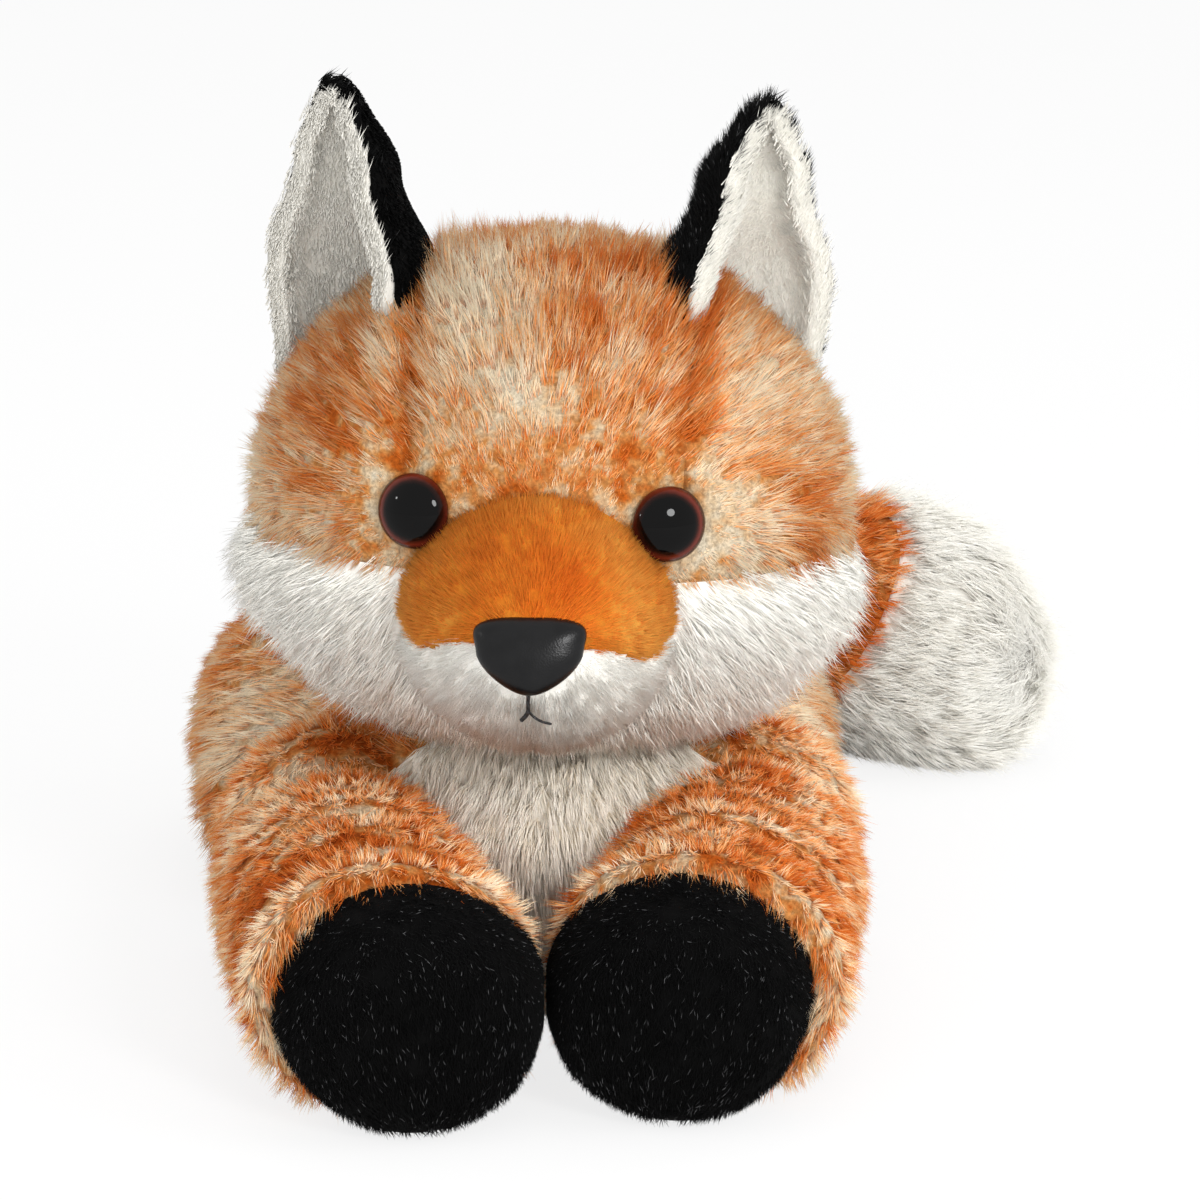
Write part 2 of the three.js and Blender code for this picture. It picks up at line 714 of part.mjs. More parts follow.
// A place on a leg: how far along it and how far out to its side, turned to the leg's heading.
function legPlace(pivot, sign, headingDeg, along, out) {
  const heading = THREE.MathUtils.degToRad(headingDeg);
  const x = sign * out * Math.cos(heading) + along * Math.sin(heading);
  const y = -along * Math.cos(heading) + sign * out * Math.sin(heading);
  return new THREE.Vector3(pivot.x + x, pivot.y + y, 0);
}

// A box that holds everything further along a leg than a given place.
function beyondPlace(pivot, headingDeg, along) {
  const geometry = new THREE.BoxGeometry(2 * reach, reach, 2 * reach);
  geometry.translate(0, -along - reach / 2, 0);
  geometry.rotateZ(THREE.MathUtils.degToRad(headingDeg));
  geometry.translate(pivot.x, pivot.y, 0);
  return solidOf(geometry);
}

function makeLeg(group, leg) {
  const { pivot, sign, headingDeg, names } = leg;
  const place = (along, out) => legPlace(pivot, sign, headingDeg, along, out);
  const sleeveForm = {
    spine: new THREE.CatmullRomCurve3([
      place(-leg.ballRadius / 2, 0), place(leg.sleeveLength / 2, leg.bow), place(leg.pawReach, 0)]),
    width: leg.sleeveWidth,
    height: leg.sleeveHeight,
    endHeights: [pivot.z, leg.endHeight],
    widthShares: leg.widthShares,
    heightShares: leg.heightShares,
    bluntness: limbBluntness,
  };
  const pawForm = {
    spine: new THREE.LineCurve3(place(leg.pawRoot, 0), place(leg.pawReach, 0)),
    width: leg.pawWidth,
    height: leg.pawHeight,
    endHeights: [leg.endHeight, leg.endHeight],
    widthShares: [[0, 1], [1, 1]],
    heightShares: [[0, 1], [1, 1]],
    bluntness: limbBluntness,
  };
  const pastCuff = beyondPlace(pivot, headingDeg, leg.sleeveLength);
  const pastCuffRoom = beyondPlace(pivot, headingDeg, leg.sleeveLength + seamGap);
  const sleeveAt = (facets, ballFacets, inset) => join(
    cut(restingForm(sleeveForm, facets, inset), torsoRoom(inset), ...leg.keepOut(inset)),
    ball(leg.ballRadius - inset, pivot, ballFacets));
  const pawAt = (facets, inset) => cut(restingForm(pawForm, facets, inset), torsoRoom(inset));
  const sleeveInner = sleeveAt(fillFacets, fillFacets, fabricThickness);
  const pawInner = pawAt(fillFacets, fabricThickness);
  const sleeve = cut(sleeveAt(limbFacets, hingeBallFacets, 0), sleeveInner, pawInner, pastCuff, floor);
  const paw = cut(pawAt(limbFacets, 0), pawInner, floor).intersect(pastCuffRoom);
  const sleeveFill = cut(sleeveAt(fillFacets, fillFacets, fillInset), pastCuff);
  const fill = join(sleeveFill, pawAt(fillFacets, fillInset));
  addPiece(group, names.sleeve, sleeve, 'mottledPlush');
  addPiece(group, names.paw, paw, 'blackPlush');
  addPiece(group, names.fill, fill, 'fibreFill');
}

// What lies past the upright plane between the two front legs, which starts between the shoulders.
function pastMidline(sign, inset) {
  const geometry = new THREE.BoxGeometry(reach, 2 * reach, 2 * reach);
  geometry.translate(-sign * (reach / 2 - seamGap - inset), 0, 0);
  geometry.rotateZ(THREE.MathUtils.degToRad(-foreSwingDeg));
  geometry.translate(-legShift, -shoulderForward, 0);
  return solidOf(geometry);
}

function makeLegs(group) {
  for (const { label, sign } of sides) {
    makeLeg(group, {
      pivot: shoulderAt(sign),
      sign,
      headingDeg: -foreSwingDeg - sign * foreInwardDeg,
      names: { sleeve: `front_leg_${label}`, paw: `front_paw_${label}`, fill: `front_leg_stuffing_${label}` },
      ballRadius: shoulderRadius,
      sleeveLength: foreSleeveLength,
      sleeveWidth: foreSleeveWidth,
      sleeveHeight: foreSleeveHeight,
      bow: foreBow,
      pawRoot: forePawRoot,
      pawReach: forePawReach,
      pawWidth: forePawWidth,
      pawHeight: forePawHeight,
      endHeight: foreEndHeight,
      widthShares: foreWidthShares,
      heightShares: foreHeightShares,
      keepOut: (inset) => [pastMidline(sign, inset)],
    });
    makeLeg(group, {
      pivot: hipAt(sign),
      sign,
      headingDeg: sign * hindOutwardDeg,
      names: { sleeve: `hind_leg_${label}`, paw: `hind_paw_${label}`, fill: `hind_leg_stuffing_${label}` },
      ballRadius: hipRadius,
      sleeveLength: thighLength,
      sleeveWidth: thighWidth,
      sleeveHeight: thighHeight,
      bow: hindBow,
      pawRoot: hindPawRoot,
      pawReach: hindPawReach,
      pawWidth: hindPawWidth,
      pawHeight: hindPawHeight,
      endHeight: hindEndHeight,
      widthShares: thighWidthShares,
      heightShares: thighHeightShares,
      keepOut: () => [],
    });
  }
}

// Tail

function makeTail(group) {
  const spine = new THREE.CatmullRomCurve3(tailSideShares.map((share, index) => new THREE.Vector3(
    tailRootSide + share * (tailReach - tailRootSide), tailRootBack + tailBackShares[index] * tailSweep, 0)));
  const tailForm = {
    spine,
    width: tailWidth,
    height: tailHeight,
    endHeights: [tailRootLift, tailEndHeight],
    widthShares: tailWidthShares,
    heightShares: tailHeightShares,
    bluntness: limbBluntness,
  };
  const tailAt = (facets, ballFacets, inset) => join(
    cut(restingForm(tailForm, facets, inset), torsoRoom(inset)),
    ball(tailRootRadius - inset, tailRoot, ballFacets));
  const inner = tailAt(tailFillFacets, fillFacets, fabricThickness);
  const shell = cut(tailAt(tailFacets, hingeBallFacets, 0), inner, floor);
  const along = 1 - tailTipStart / spine.getLength();
  const seamPoint = spine.getPointAt(along);
  const heading = spine.getTangentAt(along);
  const tipZone = (clearance) => {
    const geometry = new THREE.BoxGeometry(reach, 2 * reach, 2 * reach);
    geometry.translate(reach / 2 + clearance, 0, 0);
    geometry.rotateY(THREE.MathUtils.degToRad(tailSeamTiltDeg));
    geometry.rotateZ(Math.atan2(heading.y, heading.x) + THREE.MathUtils.degToRad(tailSeamTurnDeg));
    geometry.translate(seamPoint.x, seamPoint.y, tailEndHeight);
    return solidOf(geometry);
  };
  addPiece(group, 'tail', cut(shell, tipZone(0)), 'mottledPlush');
  addPiece(group, 'tail_tip', shell.intersect(tipZone(seamGap)), 'whitePlush');
  addPiece(group, 'tail_stuffing', tailAt(tailFillFacets, fillFacets, fillInset), 'fibreFill');
}

const fox = new THREE.Group();
makeTorso(fox);
makeNeck(fox);
makeLegs(fox);
makeTail(fox);

const head = new THREE.Group();
head.position.copy(headCentre);
head.rotation.set(0, THREE.MathUtils.degToRad(headRollDeg), THREE.MathUtils.degToRad(headTurnDeg), 'ZYX');
makeHead(head);
fox.add(head);

export default fox;
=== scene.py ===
# Plush fox that lies with its front paws forward. Z up, it faces -Y and its own left is +X.
# Forms are worked out in millimetres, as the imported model's are, and made in metres.
import math

import bmesh
import bpy
import numpy as np
from mathutils import Matrix, Vector


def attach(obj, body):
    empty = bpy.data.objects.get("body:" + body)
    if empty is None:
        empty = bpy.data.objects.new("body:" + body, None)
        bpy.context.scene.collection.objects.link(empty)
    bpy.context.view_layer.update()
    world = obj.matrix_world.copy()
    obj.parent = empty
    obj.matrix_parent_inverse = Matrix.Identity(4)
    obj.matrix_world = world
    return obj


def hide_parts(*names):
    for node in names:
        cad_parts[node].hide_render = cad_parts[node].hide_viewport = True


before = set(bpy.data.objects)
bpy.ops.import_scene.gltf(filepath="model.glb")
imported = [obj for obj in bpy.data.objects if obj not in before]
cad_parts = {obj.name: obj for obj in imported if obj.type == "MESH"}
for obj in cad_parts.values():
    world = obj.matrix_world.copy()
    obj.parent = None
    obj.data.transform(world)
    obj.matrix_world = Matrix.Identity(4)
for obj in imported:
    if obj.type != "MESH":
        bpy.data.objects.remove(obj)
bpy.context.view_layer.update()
mm = 0.001
pileShare = 1.0  # how much of the pile is grown
up = np.array([0.0, 0.0, 1.0])
bothSides = (("left", 1), ("right", -1))


def grade(value, low, high):  # from 0 at the low value to 1 at the high one
    return np.clip((value - low) / (high - low), 0, 1)


def ease(table, place):  # a value that runs smoothly through rows of (place, value)
    places = np.array([row[0] for row in table])
    values = np.array([row[1] for row in table])
    place = np.asarray(place, float)
    after = np.clip(np.searchsorted(places, place), 1, len(places) - 1)
    share = grade(place, places[after - 1], places[after])
    share = share * share * (3 - 2 * share)
    return values[after - 1] + (values[after] - values[after - 1]) * share


def fullAt(place, blunt):  # from 0 at both ends to 1 in the middle, as an oval is
    return np.maximum(0, 1 - np.abs(2 * np.asarray(place) - 1) ** blunt) ** (1 / blunt)


def unit(vectors):
    return vectors / np.maximum(np.linalg.norm(vectors, axis=-1, keepdims=True), 1e-9)


def ridge(distance, width):  # 1 on a line, 0 beyond its width
    return np.exp(-(distance / width) ** 2)


def lumps(points, size, seed):  # soft uneven stuffing, from -1 to 1
    random = np.random.default_rng(seed)
    total = np.zeros(len(points))
    for _ in range(7):
        way = unit(random.normal(size=3)) * random.uniform(0.7, 1.5) * 2 * math.pi / size
        total += np.sin(points @ way + random.uniform(0, 2 * math.pi))
    return total / 4


def stuffed(look, corners):  # how far the stuffing pushes each corner of a form out
    return look["lumpDepth"] * lumps(corners, *look["lumps"])


def curveThrough(points, steps=120):  # a centripetal curve, with the length along it at each point
    points = np.array(points, float)
    if len(points) == 2:
        made = points[0] + (points[1] - points[0]) * np.linspace(0, 1, steps)[:, None]
    else:
        ends = [2 * points[0] - points[1], *points, 2 * points[-1] - points[-2]]
        made = []
        for i in range(len(points) - 1):
            a, b, c, d = ends[i:i + 4]
            da, db, dc = [np.linalg.norm(q - p) ** 0.5 for p, q in ((a, b), (b, c), (c, d))]
            m = ((b - a) / da - (c - a) / (da + db) + (c - b) / db) * db
            n = ((c - b) / db - (d - b) / (db + dc) + (d - c) / dc) * db
            w = np.linspace(0, 1, steps, endpoint=i == len(points) - 2)[:, None]
            made.append(b + m * w + (3 * (c - b) - 2 * m - n) * w ** 2 + (2 * (b - c) + m + n) * w ** 3)
        made = np.concatenate(made)
    along = np.concatenate([[0], np.cumsum(np.linalg.norm(np.diff(made, axis=0), axis=1))])
    return {"points": made, "along": along, "length": along[-1], "tangents": unit(np.gradient(made, axis=0))}


def onCurve(curve, along):  # a point on a curve, and the way the curve goes there
    at, way = [np.stack([np.interp(along, curve["along"], curve[key][:, k]) for k in range(3)], -1)
               for key in ("points", "tangents")]
    return at, unit(way)


def nearestOn(curve, points):  # which point of a curve lies nearest, seen from above
    away = points[:, None, :2] - curve["points"][None, :, :2]
    return (away ** 2).sum(-1).argmin(1)


lyingFit = {"floorTrim": 0.5, "pressedBlunt": 5}  # lying forms are flat where they rest on the floor


def lyingSection(form, place, grow=0.0):  # half width, top and bottom of a lying form
    full = fullAt(place, form["blunt"])
    ends = form["ends"][0] + (form["ends"][1] - form["ends"][0]) * place
    half = (form["width"] * ease(form["widths"], place) / 2 + grow) * full
    top = ends + (form["height"] * ease(form["heights"], place) + grow - ends) * full
    bottom = ends + (-grow - lyingFit["floorTrim"] - ends) * fullAt(place, lyingFit["pressedBlunt"])
    return half, top, bottom


def lyingPoints(form, place, angle, grow=0.0):
    curve = form["curve"]
    at, way = onCurve(curve, place * (curve["length"] + 2 * grow) - grow)
    across = unit(np.cross(up, way))
    half, top, bottom = lyingSection(form, place, grow)
    at = at + across * (half * np.cos(angle))[..., None]
    at[..., 2] = (top + bottom) / 2 + (top - bottom) / 2 * np.sin(angle)
    return at


def insideLying(form, points, margin):  # which points lie in a form by more than a margin
    curve = form["curve"]
    found = np.zeros(len(points), bool)
    for start in range(0, len(points), 4000):
        part = points[start:start + 4000]
        near = nearestOn(curve, part)
        away, way = part - curve["points"][near], curve["tangents"][near]
        aside = away[:, 0] * way[:, 1] - away[:, 1] * way[:, 0]
        ahead = (away[:, :2] * way[:, :2]).sum(1)
        half, top, bottom = lyingSection(form, curve["along"][near] / curve["length"])
        rise = (part[:, 2] - (top + bottom) / 2) / np.maximum((top - bottom) / 2 - margin, 0.1)
        wide = np.hypot(aside, ahead) / np.maximum(half - margin, 0.1)
        found[start:start + 4000] = (wide ** 2 + rise ** 2 < 1) & (half > margin)
    return found


def roundSection(form, place, grow=0.0):  # half width and half depth of a round form
    full = fullAt(place, 2)
    return [(form[size] / 2 + grow) * ease(form[size + "s"], place) * full for size in ("width", "depth")]


def roundPoints(form, place, angle, grow=0.0):
    half, deep = roundSection(form, place, grow)
    rise = (form["height"] / 2 + grow) * (2 * place - 1)
    return np.stack([half * np.cos(angle), deep * np.sin(angle), rise], -1) + np.array(form["centre"])


def insideRound(form, points, margin):
    local = points - np.array(form["centre"])
    place = 0.5 + local[:, 2] / form["height"]
    half, deep = [np.maximum(size - margin, 0.1) for size in roundSection(form, place)]
    return (place > 0) & (place < 1) & ((local[:, 0] / half) ** 2 + (local[:, 1] / deep) ** 2 < 1)


def frontOf(form, aside, above):  # the front of a round form, and the way out of it there
    def at(x, z):
        half, deep = roundSection(form, 0.5 + z / form["height"])
        return np.array([x, -deep * math.sqrt(1 - (x / half) ** 2), z]) + np.array(form["centre"])

    step = 0.5
    point = at(aside, above)
    return point, unit(np.cross(at(aside + step, above) - point, at(aside, above + step) - point))


def insideBall(centre, radius, points, margin):
    return np.linalg.norm(points - np.array(centre), axis=1) < radius - margin


def ringFaces(rings, sides):  # a closed skin over rings of corners, with a tip at each end
    last = rings * sides + 1
    faces = []
    for side in range(sides):
        after = (side + 1) % sides
        faces += [(0, 1 + after, 1 + side), (last, last - sides + side, last - sides + after)]
        for low in range(1, last - sides, sides):
            faces.append((low + side, low + after, low + sides + after, low + sides + side))
    return faces


def loftedMesh(pointsAt, rings, sides):
    place = (1 - np.cos(np.pi * np.arange(1, rings) / rings)) / 2
    angle = 2 * np.pi * np.arange(sides) / sides
    ring = pointsAt(*np.meshgrid(place, angle, indexing="ij")).reshape(-1, 3)
    tips = [pointsAt(np.array([share]), np.array([0.0])) for share in (0.0, 1.0)]
    return np.concatenate([tips[0], ring, tips[1]]), ringFaces(rings - 1, sides)


def turnedMesh(profile, sides):  # a solid of revolution about Z, from bottom to top, both ends on the axis
    corners = [(0, 0, profile[0][1])]
    for radius, height in profile[1:-1]:
        corners += [(radius * math.cos(2 * math.pi * k / sides), radius * math.sin(2 * math.pi * k / sides), height)
                    for k in range(sides)]
    corners.append((0, 0, profile[-1][1]))
    return np.array(corners), ringFaces(len(profile) - 2, sides)


def tubeMesh(points, radii, sides=10):
    first = unit(np.cross(unit(np.gradient(points, axis=0)), np.array([0.3, 1, 0.2])))
    second = np.cross(unit(np.gradient(points, axis=0)), first)
    corners = [points[0]]
    for k in range(len(points)):
        for s in range(sides):
            turn = 2 * math.pi * s / sides
            corners.append(points[k] + radii[k] * (first[k] * math.cos(turn) + second[k] * math.sin(turn)))
    corners.append(points[-1])
    return np.array(corners), [(face[0], *face[:0:-1]) for face in ringFaces(len(points), sides)]


def cornerNormals(corners, faces):
    normals = np.zeros_like(corners)
    for face in (np.array([f for f in faces if len(f) == n]) for n in (3, 4)):
        if len(face):
            last = face[:, -1]
            flat = np.cross(corners[face[:, 1]] - corners[face[:, 0]], corners[last] - corners[face[:, 0]])
            flat += np.cross(corners[face[:, 2]] - corners[face[:, 1]], corners[last] - corners[face[:, 1]])
            for k in range(face.shape[1]):
                np.add.at(normals, face[:, k], flat)
    return unit(normals)


def pushedOut(corners, faces, depth):
    return corners + cornerNormals(corners, faces) * depth[:, None]


def onFloor(corners, floor=0):
    corners[:, 2] = np.maximum(corners[:, 2], floor)
    return corners


# The fox's forms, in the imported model's sizes.
torso = {"curve": curveThrough([(0, -58, 0), (0, 124, 0)]), "width": 96, "height": 67, "ends": (27, 25), "blunt": 2.8,
         "widths": [(0, 0.82), (0.3, 1), (0.55, 0.96), (0.8, 1), (1, 0.9)],
         "heights": [(0, 0.8), (0.34, 1), (0.66, 1.02), (1, 0.92)],
         "bibBack": -24, "bellyTop": 15}
head = {"centre": (0, 0, 0), "width": 118, "depth": 100, "height": 101,
        "widths": [(0, 1.28), (0.22, 1.13), (0.48, 1), (0.75, 0.97), (1, 0.94)],
        "depths": [(0, 1.02), (0.3, 1), (1, 1)],
        "place": (0, -25, 104), "turn": -7.6, "roll": 2.4,
        "foreheadHalf": 27, "cheekTop": -8, "cheekBack": 14}
muzzle = {"centre": (0, -40, -15.5), "width": 53, "depth": 54, "height": 53,
          "widths": [(0, 1.04), (0.5, 1), (1, 0.94)], "depths": [(0, 0.98), (0.5, 1), (1, 0.96)],
          "lip": -16}
neckPivot = np.array(head["place"], float)
headSpin = np.array((Matrix.Rotation(math.radians(head["turn"]), 4, "Z")
                     @ Matrix.Rotation(math.radians(head["roll"]), 4, "Y")).to_3x3())


def fromHead(points):
    return points @ headSpin.T + neckPivot


def toHead(points):
    return (points - neckPivot) @ headSpin


legShift = 2  # all four legs sit a little to the right


def legForms(sign, leg):  # a sleeve, a paw and the ball at the joint, from sizes along and beside the leg
    turn = math.radians(leg["heading"])
    pivot = np.array([sign * leg["spacing"] / 2 - legShift, leg["back"], leg["ball"] - lyingFit["floorTrim"]])

    def place(along, out):
        return (pivot[0] + sign * out * math.cos(turn) + along * math.sin(turn),
                pivot[1] - along * math.cos(turn) + sign * out * math.sin(turn), 0)

    sleeve = {"curve": curveThrough([place(-leg["ball"] / 2, 0), place(leg["sleeveLength"] / 2, leg["bow"]),
                                     place(leg["reach"], 0)]),
              "width": leg["width"], "height": leg["height"], "ends": (pivot[2], leg["end"]), "blunt": 3,
              "widths": leg["widths"], "heights": leg["heights"]}
    paw = {"curve": curveThrough([place(leg["root"], 0), place(leg["reach"], 0)]), "width": leg["pawWidth"],
           "height": leg["pawHeight"], "ends": (leg["end"], leg["end"]), "blunt": 3,
           "widths": [(0, 1), (1, 1)], "heights": [(0, 1), (1, 1)]}
    way = np.array([math.sin(turn), -math.cos(turn), 0])
    return {"sleeve": sleeve, "paw": paw, "pivot": pivot, "way": way, "cuff": leg["sleeveLength"], "sign": sign,
            "ball": leg["ball"]}


foreSizes = {"spacing": 82, "back": -12, "ball": 25, "sleeveLength": 89, "width": 54, "height": 47.5, "bow": 3,
             "end": 22, "root": 58, "reach": 110, "pawWidth": 50, "pawHeight": 45.5,
             "widths": [(0, 0.9), (0.3, 0.94), (0.7, 1), (1, 1)], "heights": [(0, 0.98), (0.5, 0.98), (1, 1)]}
hindSizes = {"spacing": 76, "back": 75, "ball": 29, "sleeveLength": 46, "width": 56, "height": 57, "bow": 2,
             "end": 15, "root": 26, "reach": 60, "pawWidth": 34, "pawHeight": 32,
             "widths": [(0, 1), (0.4, 1), (0.78, 0.72), (1, 0.62)],
             "heights": [(0, 1), (0.4, 0.97), (0.78, 0.64), (1, 0.57)]}
legHeading = {"fore": 9.3, "hind": 9, "foreSwing": -3.6}  # degrees
legs = {}
for sideName, sign in bothSides:
    heading = legHeading["foreSwing"] - sign * legHeading["fore"]
    legs["front_leg_" + sideName] = legForms(sign, {**foreSizes, "heading": heading})
    legs["hind_leg_" + sideName] = legForms(sign, {**hindSizes, "heading": sign * legHeading["hind"]})

tailRoot = np.array([4, 112, 25.0])
tail = {"curve": curveThrough([(4 + side * 112, 112 + back * 35, 0) for side, back in
                               zip((0, 0.3, 0.64, 0.88, 1), (0, 1.02, 1.04, 0.34, -0.12))]),
        "width": 58, "height": 58, "ends": (25, 27), "blunt": 3, "ball": 21, "tip": 62, "tilt": 28, "turn": 28,
        "widths": [(0, 0.74), (0.22, 0.74), (0.5, 0.92), (0.78, 1), (1, 0.96)],
        "heights": [(0, 0.72), (0.22, 0.72), (0.5, 0.94), (0.78, 1), (1, 0.96)]}
tailSeam, tailSeamWay = onCurve(tail["curve"], np.array(tail["curve"]["length"] - tail["tip"]))
tailSeam[2] = tail["ends"][1]
tailHeading = math.atan2(tailSeamWay[1], tailSeamWay[0]) + math.radians(tail["turn"])
tailSeamWay = unit(np.array([math.cos(tailHeading), math.sin(tailHeading), -math.tan(math.radians(tail["tilt"]))]))

overlap = {"head": 7, "leg": 16, "tail": 12}  # how far a moving part's cloth goes on under its neighbour


def inTorso(points, margin):
    return insideLying(torso, points, margin)


def inHead(points, margin):
    local = toHead(points)
    return insideRound(head, local, margin) | insideRound(muzzle, local, margin)


def inLeg(name, points, margin):
    leg = legs[name]
    return (insideLying(leg["sleeve"], points, margin) | insideLying(leg["paw"], points, margin)
            | insideBall(leg["pivot"], leg["ball"], points, margin))


def inTail(points, margin):
    return insideLying(tail, points, margin) | insideBall(tailRoot, tail["ball"], points, margin)


def foreMidline(points, sign):  # how far a point is past the upright plane between the front legs
    turn = math.radians(legHeading["foreSwing"])
    return -sign * ((points[:, 0] + legShift) * math.cos(turn) + (points[:, 1] - foreSizes["back"]) * math.sin(turn))


def newMaterial(name, roughness, specular=0.5):
    material = bpy.data.materials.new(name)
    material.use_nodes = True
    shader = material.node_tree.nodes["Principled BSDF"]
    shader.inputs["Roughness"].default_value = roughness
    shader.inputs["Specular IOR Level"].default_value = specular
    return material, material.node_tree, shader


def feed(tree, socket, value):  # another node's output, or a plain value
    if isinstance(value, bpy.types.NodeSocket):
        tree.links.new(value, socket)
    else:
        socket.default_value = value


def node(tree, kind, values=(), **settings):
    made = tree.nodes.new(kind)
    for key, value in settings.items():
        setattr(made, key, value)
    for key, value in dict(values).items():
        feed(tree, made.inputs[key], value)
    return made


def ramp(tree, factor, stops):
    made = node(tree, "ShaderNodeValToRGB", {"Fac": factor})
    while len(made.color_ramp.elements) < len(stops):
        made.color_ramp.elements.new(0.5)
    for element, (place, shade) in zip(made.color_ramp.elements, stops):
        element.position = place
        element.color = (*(shade if isinstance(shade, tuple) else (shade,) * 3), 1)
    return made.outputs["Color"]


def mixColour(tree, factor, first, second, blend="MIX"):
    made = node(tree, "ShaderNodeMix", data_type="RGBA", blend_type=blend)
    for index, value in ((0, factor), (6, first), (7, second)):
        feed(tree, made.inputs[index], (*value, 1) if isinstance(value, tuple) else value)
    return made.outputs[2]


def combined(tree, first, second, operation="ADD"):
    return node(tree, "ShaderNodeMath", {0: first, 1: second}, operation=operation).outputs[0]


def times(tree, first, second):
    return combined(tree, first, second, "MULTIPLY")


def between(tree, value, low, high):  # from 0 at the low value to 1 at the high one
    return node(tree, "ShaderNodeMapRange", {"Value": value, "From Min": low, "From Max": high}).outputs["Result"]


def reading(tree, name, output="Fac"):
    return node(tree, "ShaderNodeAttribute", attribute_name=name).outputs[output]


def onObject(tree):
    return node(tree, "ShaderNodeTexCoord").outputs["Object"]


def noise(tree, where, scale, detail, roughness=0.5, distortion=0):
    return node(tree, "ShaderNodeTexNoise", {"Vector": where, "Scale": scale, "Detail": detail,
                                            "Roughness": roughness, "Distortion": distortion}).outputs["Fac"]


def wave(tree, where, scale, distortion, way):
    return node(tree, "ShaderNodeTexWave", {"Vector": where, "Scale": scale, "Distortion": distortion},
                bands_direction=way).outputs["Fac"]


def bump(tree, shader, height, strength, distance):
    dent = node(tree, "ShaderNodeBump", {"Height": height, "Strength": strength, "Distance": distance})
    tree.links.new(dent.outputs["Normal"], shader.inputs["Normal"])


def colour(text):  # a colour as it shows on a screen, made linear
    parts = [int(text[k:k + 2], 16) / 255 for k in (1, 3, 5)]
    return tuple(p / 12.92 if p <= 0.04045 else ((p + 0.055) / 1.055) ** 2.4 for p in parts)


# Each plush: the colours of its roots and tips, the sizes of its patches, and how far its backing is darkened. The
# roots, darker than the tips, and the darkened backing are painted shade deep in the pile.
pileFinish = {
    "mottled": {"roots": "#B4652E", "stops": [(0.37, "#FFEFD2"), (0.46, "#FBDAAE"), (0.53, "#EFA65E"),
                                            (0.61, "#DB6F22"), (0.76, "#AA450F")],
                "coarse": 44, "fine": 230, "fineShare": 0.43, "mixed": 0.22, "shade": 0.36, "cloth": 0.6, "nap": 0.5},
    "white": {"roots": "#F6F4EE", "stops": [(0.3, "#FBFAF5"), (0.55, "#FAF8F1"), (0.8, "#F8F5EC")],
              "coarse": 35, "fine": 190, "fineShare": 0.35, "mixed": 0.1, "shade": 0.08, "cloth": 0.88, "nap": 0.9},
    # the ear lining: the white plush made greyer, as painted shade
    "lining": {"roots": "#E6E3DB", "stops": [(0.3, "#EDEAE2"), (0.55, "#EBE8DF"), (0.8, "#E9E5DA")],
               "coarse": 35, "fine": 190, "fineShare": 0.35, "mixed": 0.05, "shade": 0.04, "cloth": 0.84, "nap": 0.9,
               "slot": "white_plush"},
    "cream": {"roots": "#F8ECD9", "stops": [(0.3, "#FFFBF2"), (0.55, "#FDF6E9"), (0.8, "#F6E8D2")],
              "coarse": 40, "fine": 210, "fineShare": 0.5, "mixed": 0.2, "shade": 0.14, "cloth": 0.95, "nap": 0.8},
    "black": {"roots": "#060606", "stops": [(0.3, "#090909"), (0.55, "#0E0E0E"), (0.8, "#141415")],
              "coarse": 60, "fine": 300, "fineShare": 0.5, "mixed": 0.1, "tips": (0.2, 1), "shade": 0.5,
              "cloth": 0.3, "nap": 0.8, "paintedGlint": "#9A9A9C", "roughness": 0.5, "gloss": 0.07},
    "orange": {"roots": "#C65C10", "stops": [(0.25, "#E26A14"), (0.5, "#F2932F"), (0.78, "#FFBC56")],
               "coarse": 30, "fine": 300, "fineShare": 0.08, "mixed": 0.1, "tips": (0, 0.9), "shade": 0.3,
               "cloth": 0.6, "nap": 0.8},
}


def patches(tree, where, look):  # where on its row of colours a place lies
    coarse = noise(tree, where, look["coarse"], 3, 0.6, 0.5)
    fine = noise(tree, where, look["fine"], 2, 0.6)
    field = combined(tree, times(tree, coarse, 1 - look["fineShare"]), times(tree, fine, look["fineShare"]))
    return combined(tree, field, reading(tree, "tone"))


def pileMaterial(finish):  # it reads each strand's root and the place along it
    look = pileFinish[finish]
    material, tree, shader = newMaterial("pile_" + finish, look.get("roughness", 0.8), look.get("gloss", 0.2))
    tint, along = reading(tree, "tint"), reading(tree, "along")
    field = patches(tree, reading(tree, "root", "Vector"), look)
    field = combined(tree, field, times(tree, combined(tree, tint, 0.5, "SUBTRACT"), look["mixed"]))
    tips = ramp(tree, field, [(place, colour(text)) for place, text in look["stops"]])
    # painted shade: each strand runs from a darker root colour up to its tip colour, as shade deep in the pile
    base = mixColour(tree, between(tree, along, *look.get("tips", (0, 0.5))), colour(look["roots"]), tips)
    shade = combined(tree, 1 - look["shade"] / 2, times(tree, tint, look["shade"]))
    grey = node(tree, "ShaderNodeCombineColor", {"Red": shade, "Green": shade, "Blue": shade}).outputs["Color"]
    base = mixColour(tree, 1.0, base, grey, "MULTIPLY")
    if "paintedGlint" in look:  # painted highlight: a few strands have light grey tips, as glossy specks
        glintShare = times(tree, between(tree, tint, 0.86, 0.92), between(tree, along, 0.55, 0.9))
        base = mixColour(tree, glintShare, base, colour(look["paintedGlint"]))
    tree.links.new(base, shader.inputs["Base Color"])
    return material


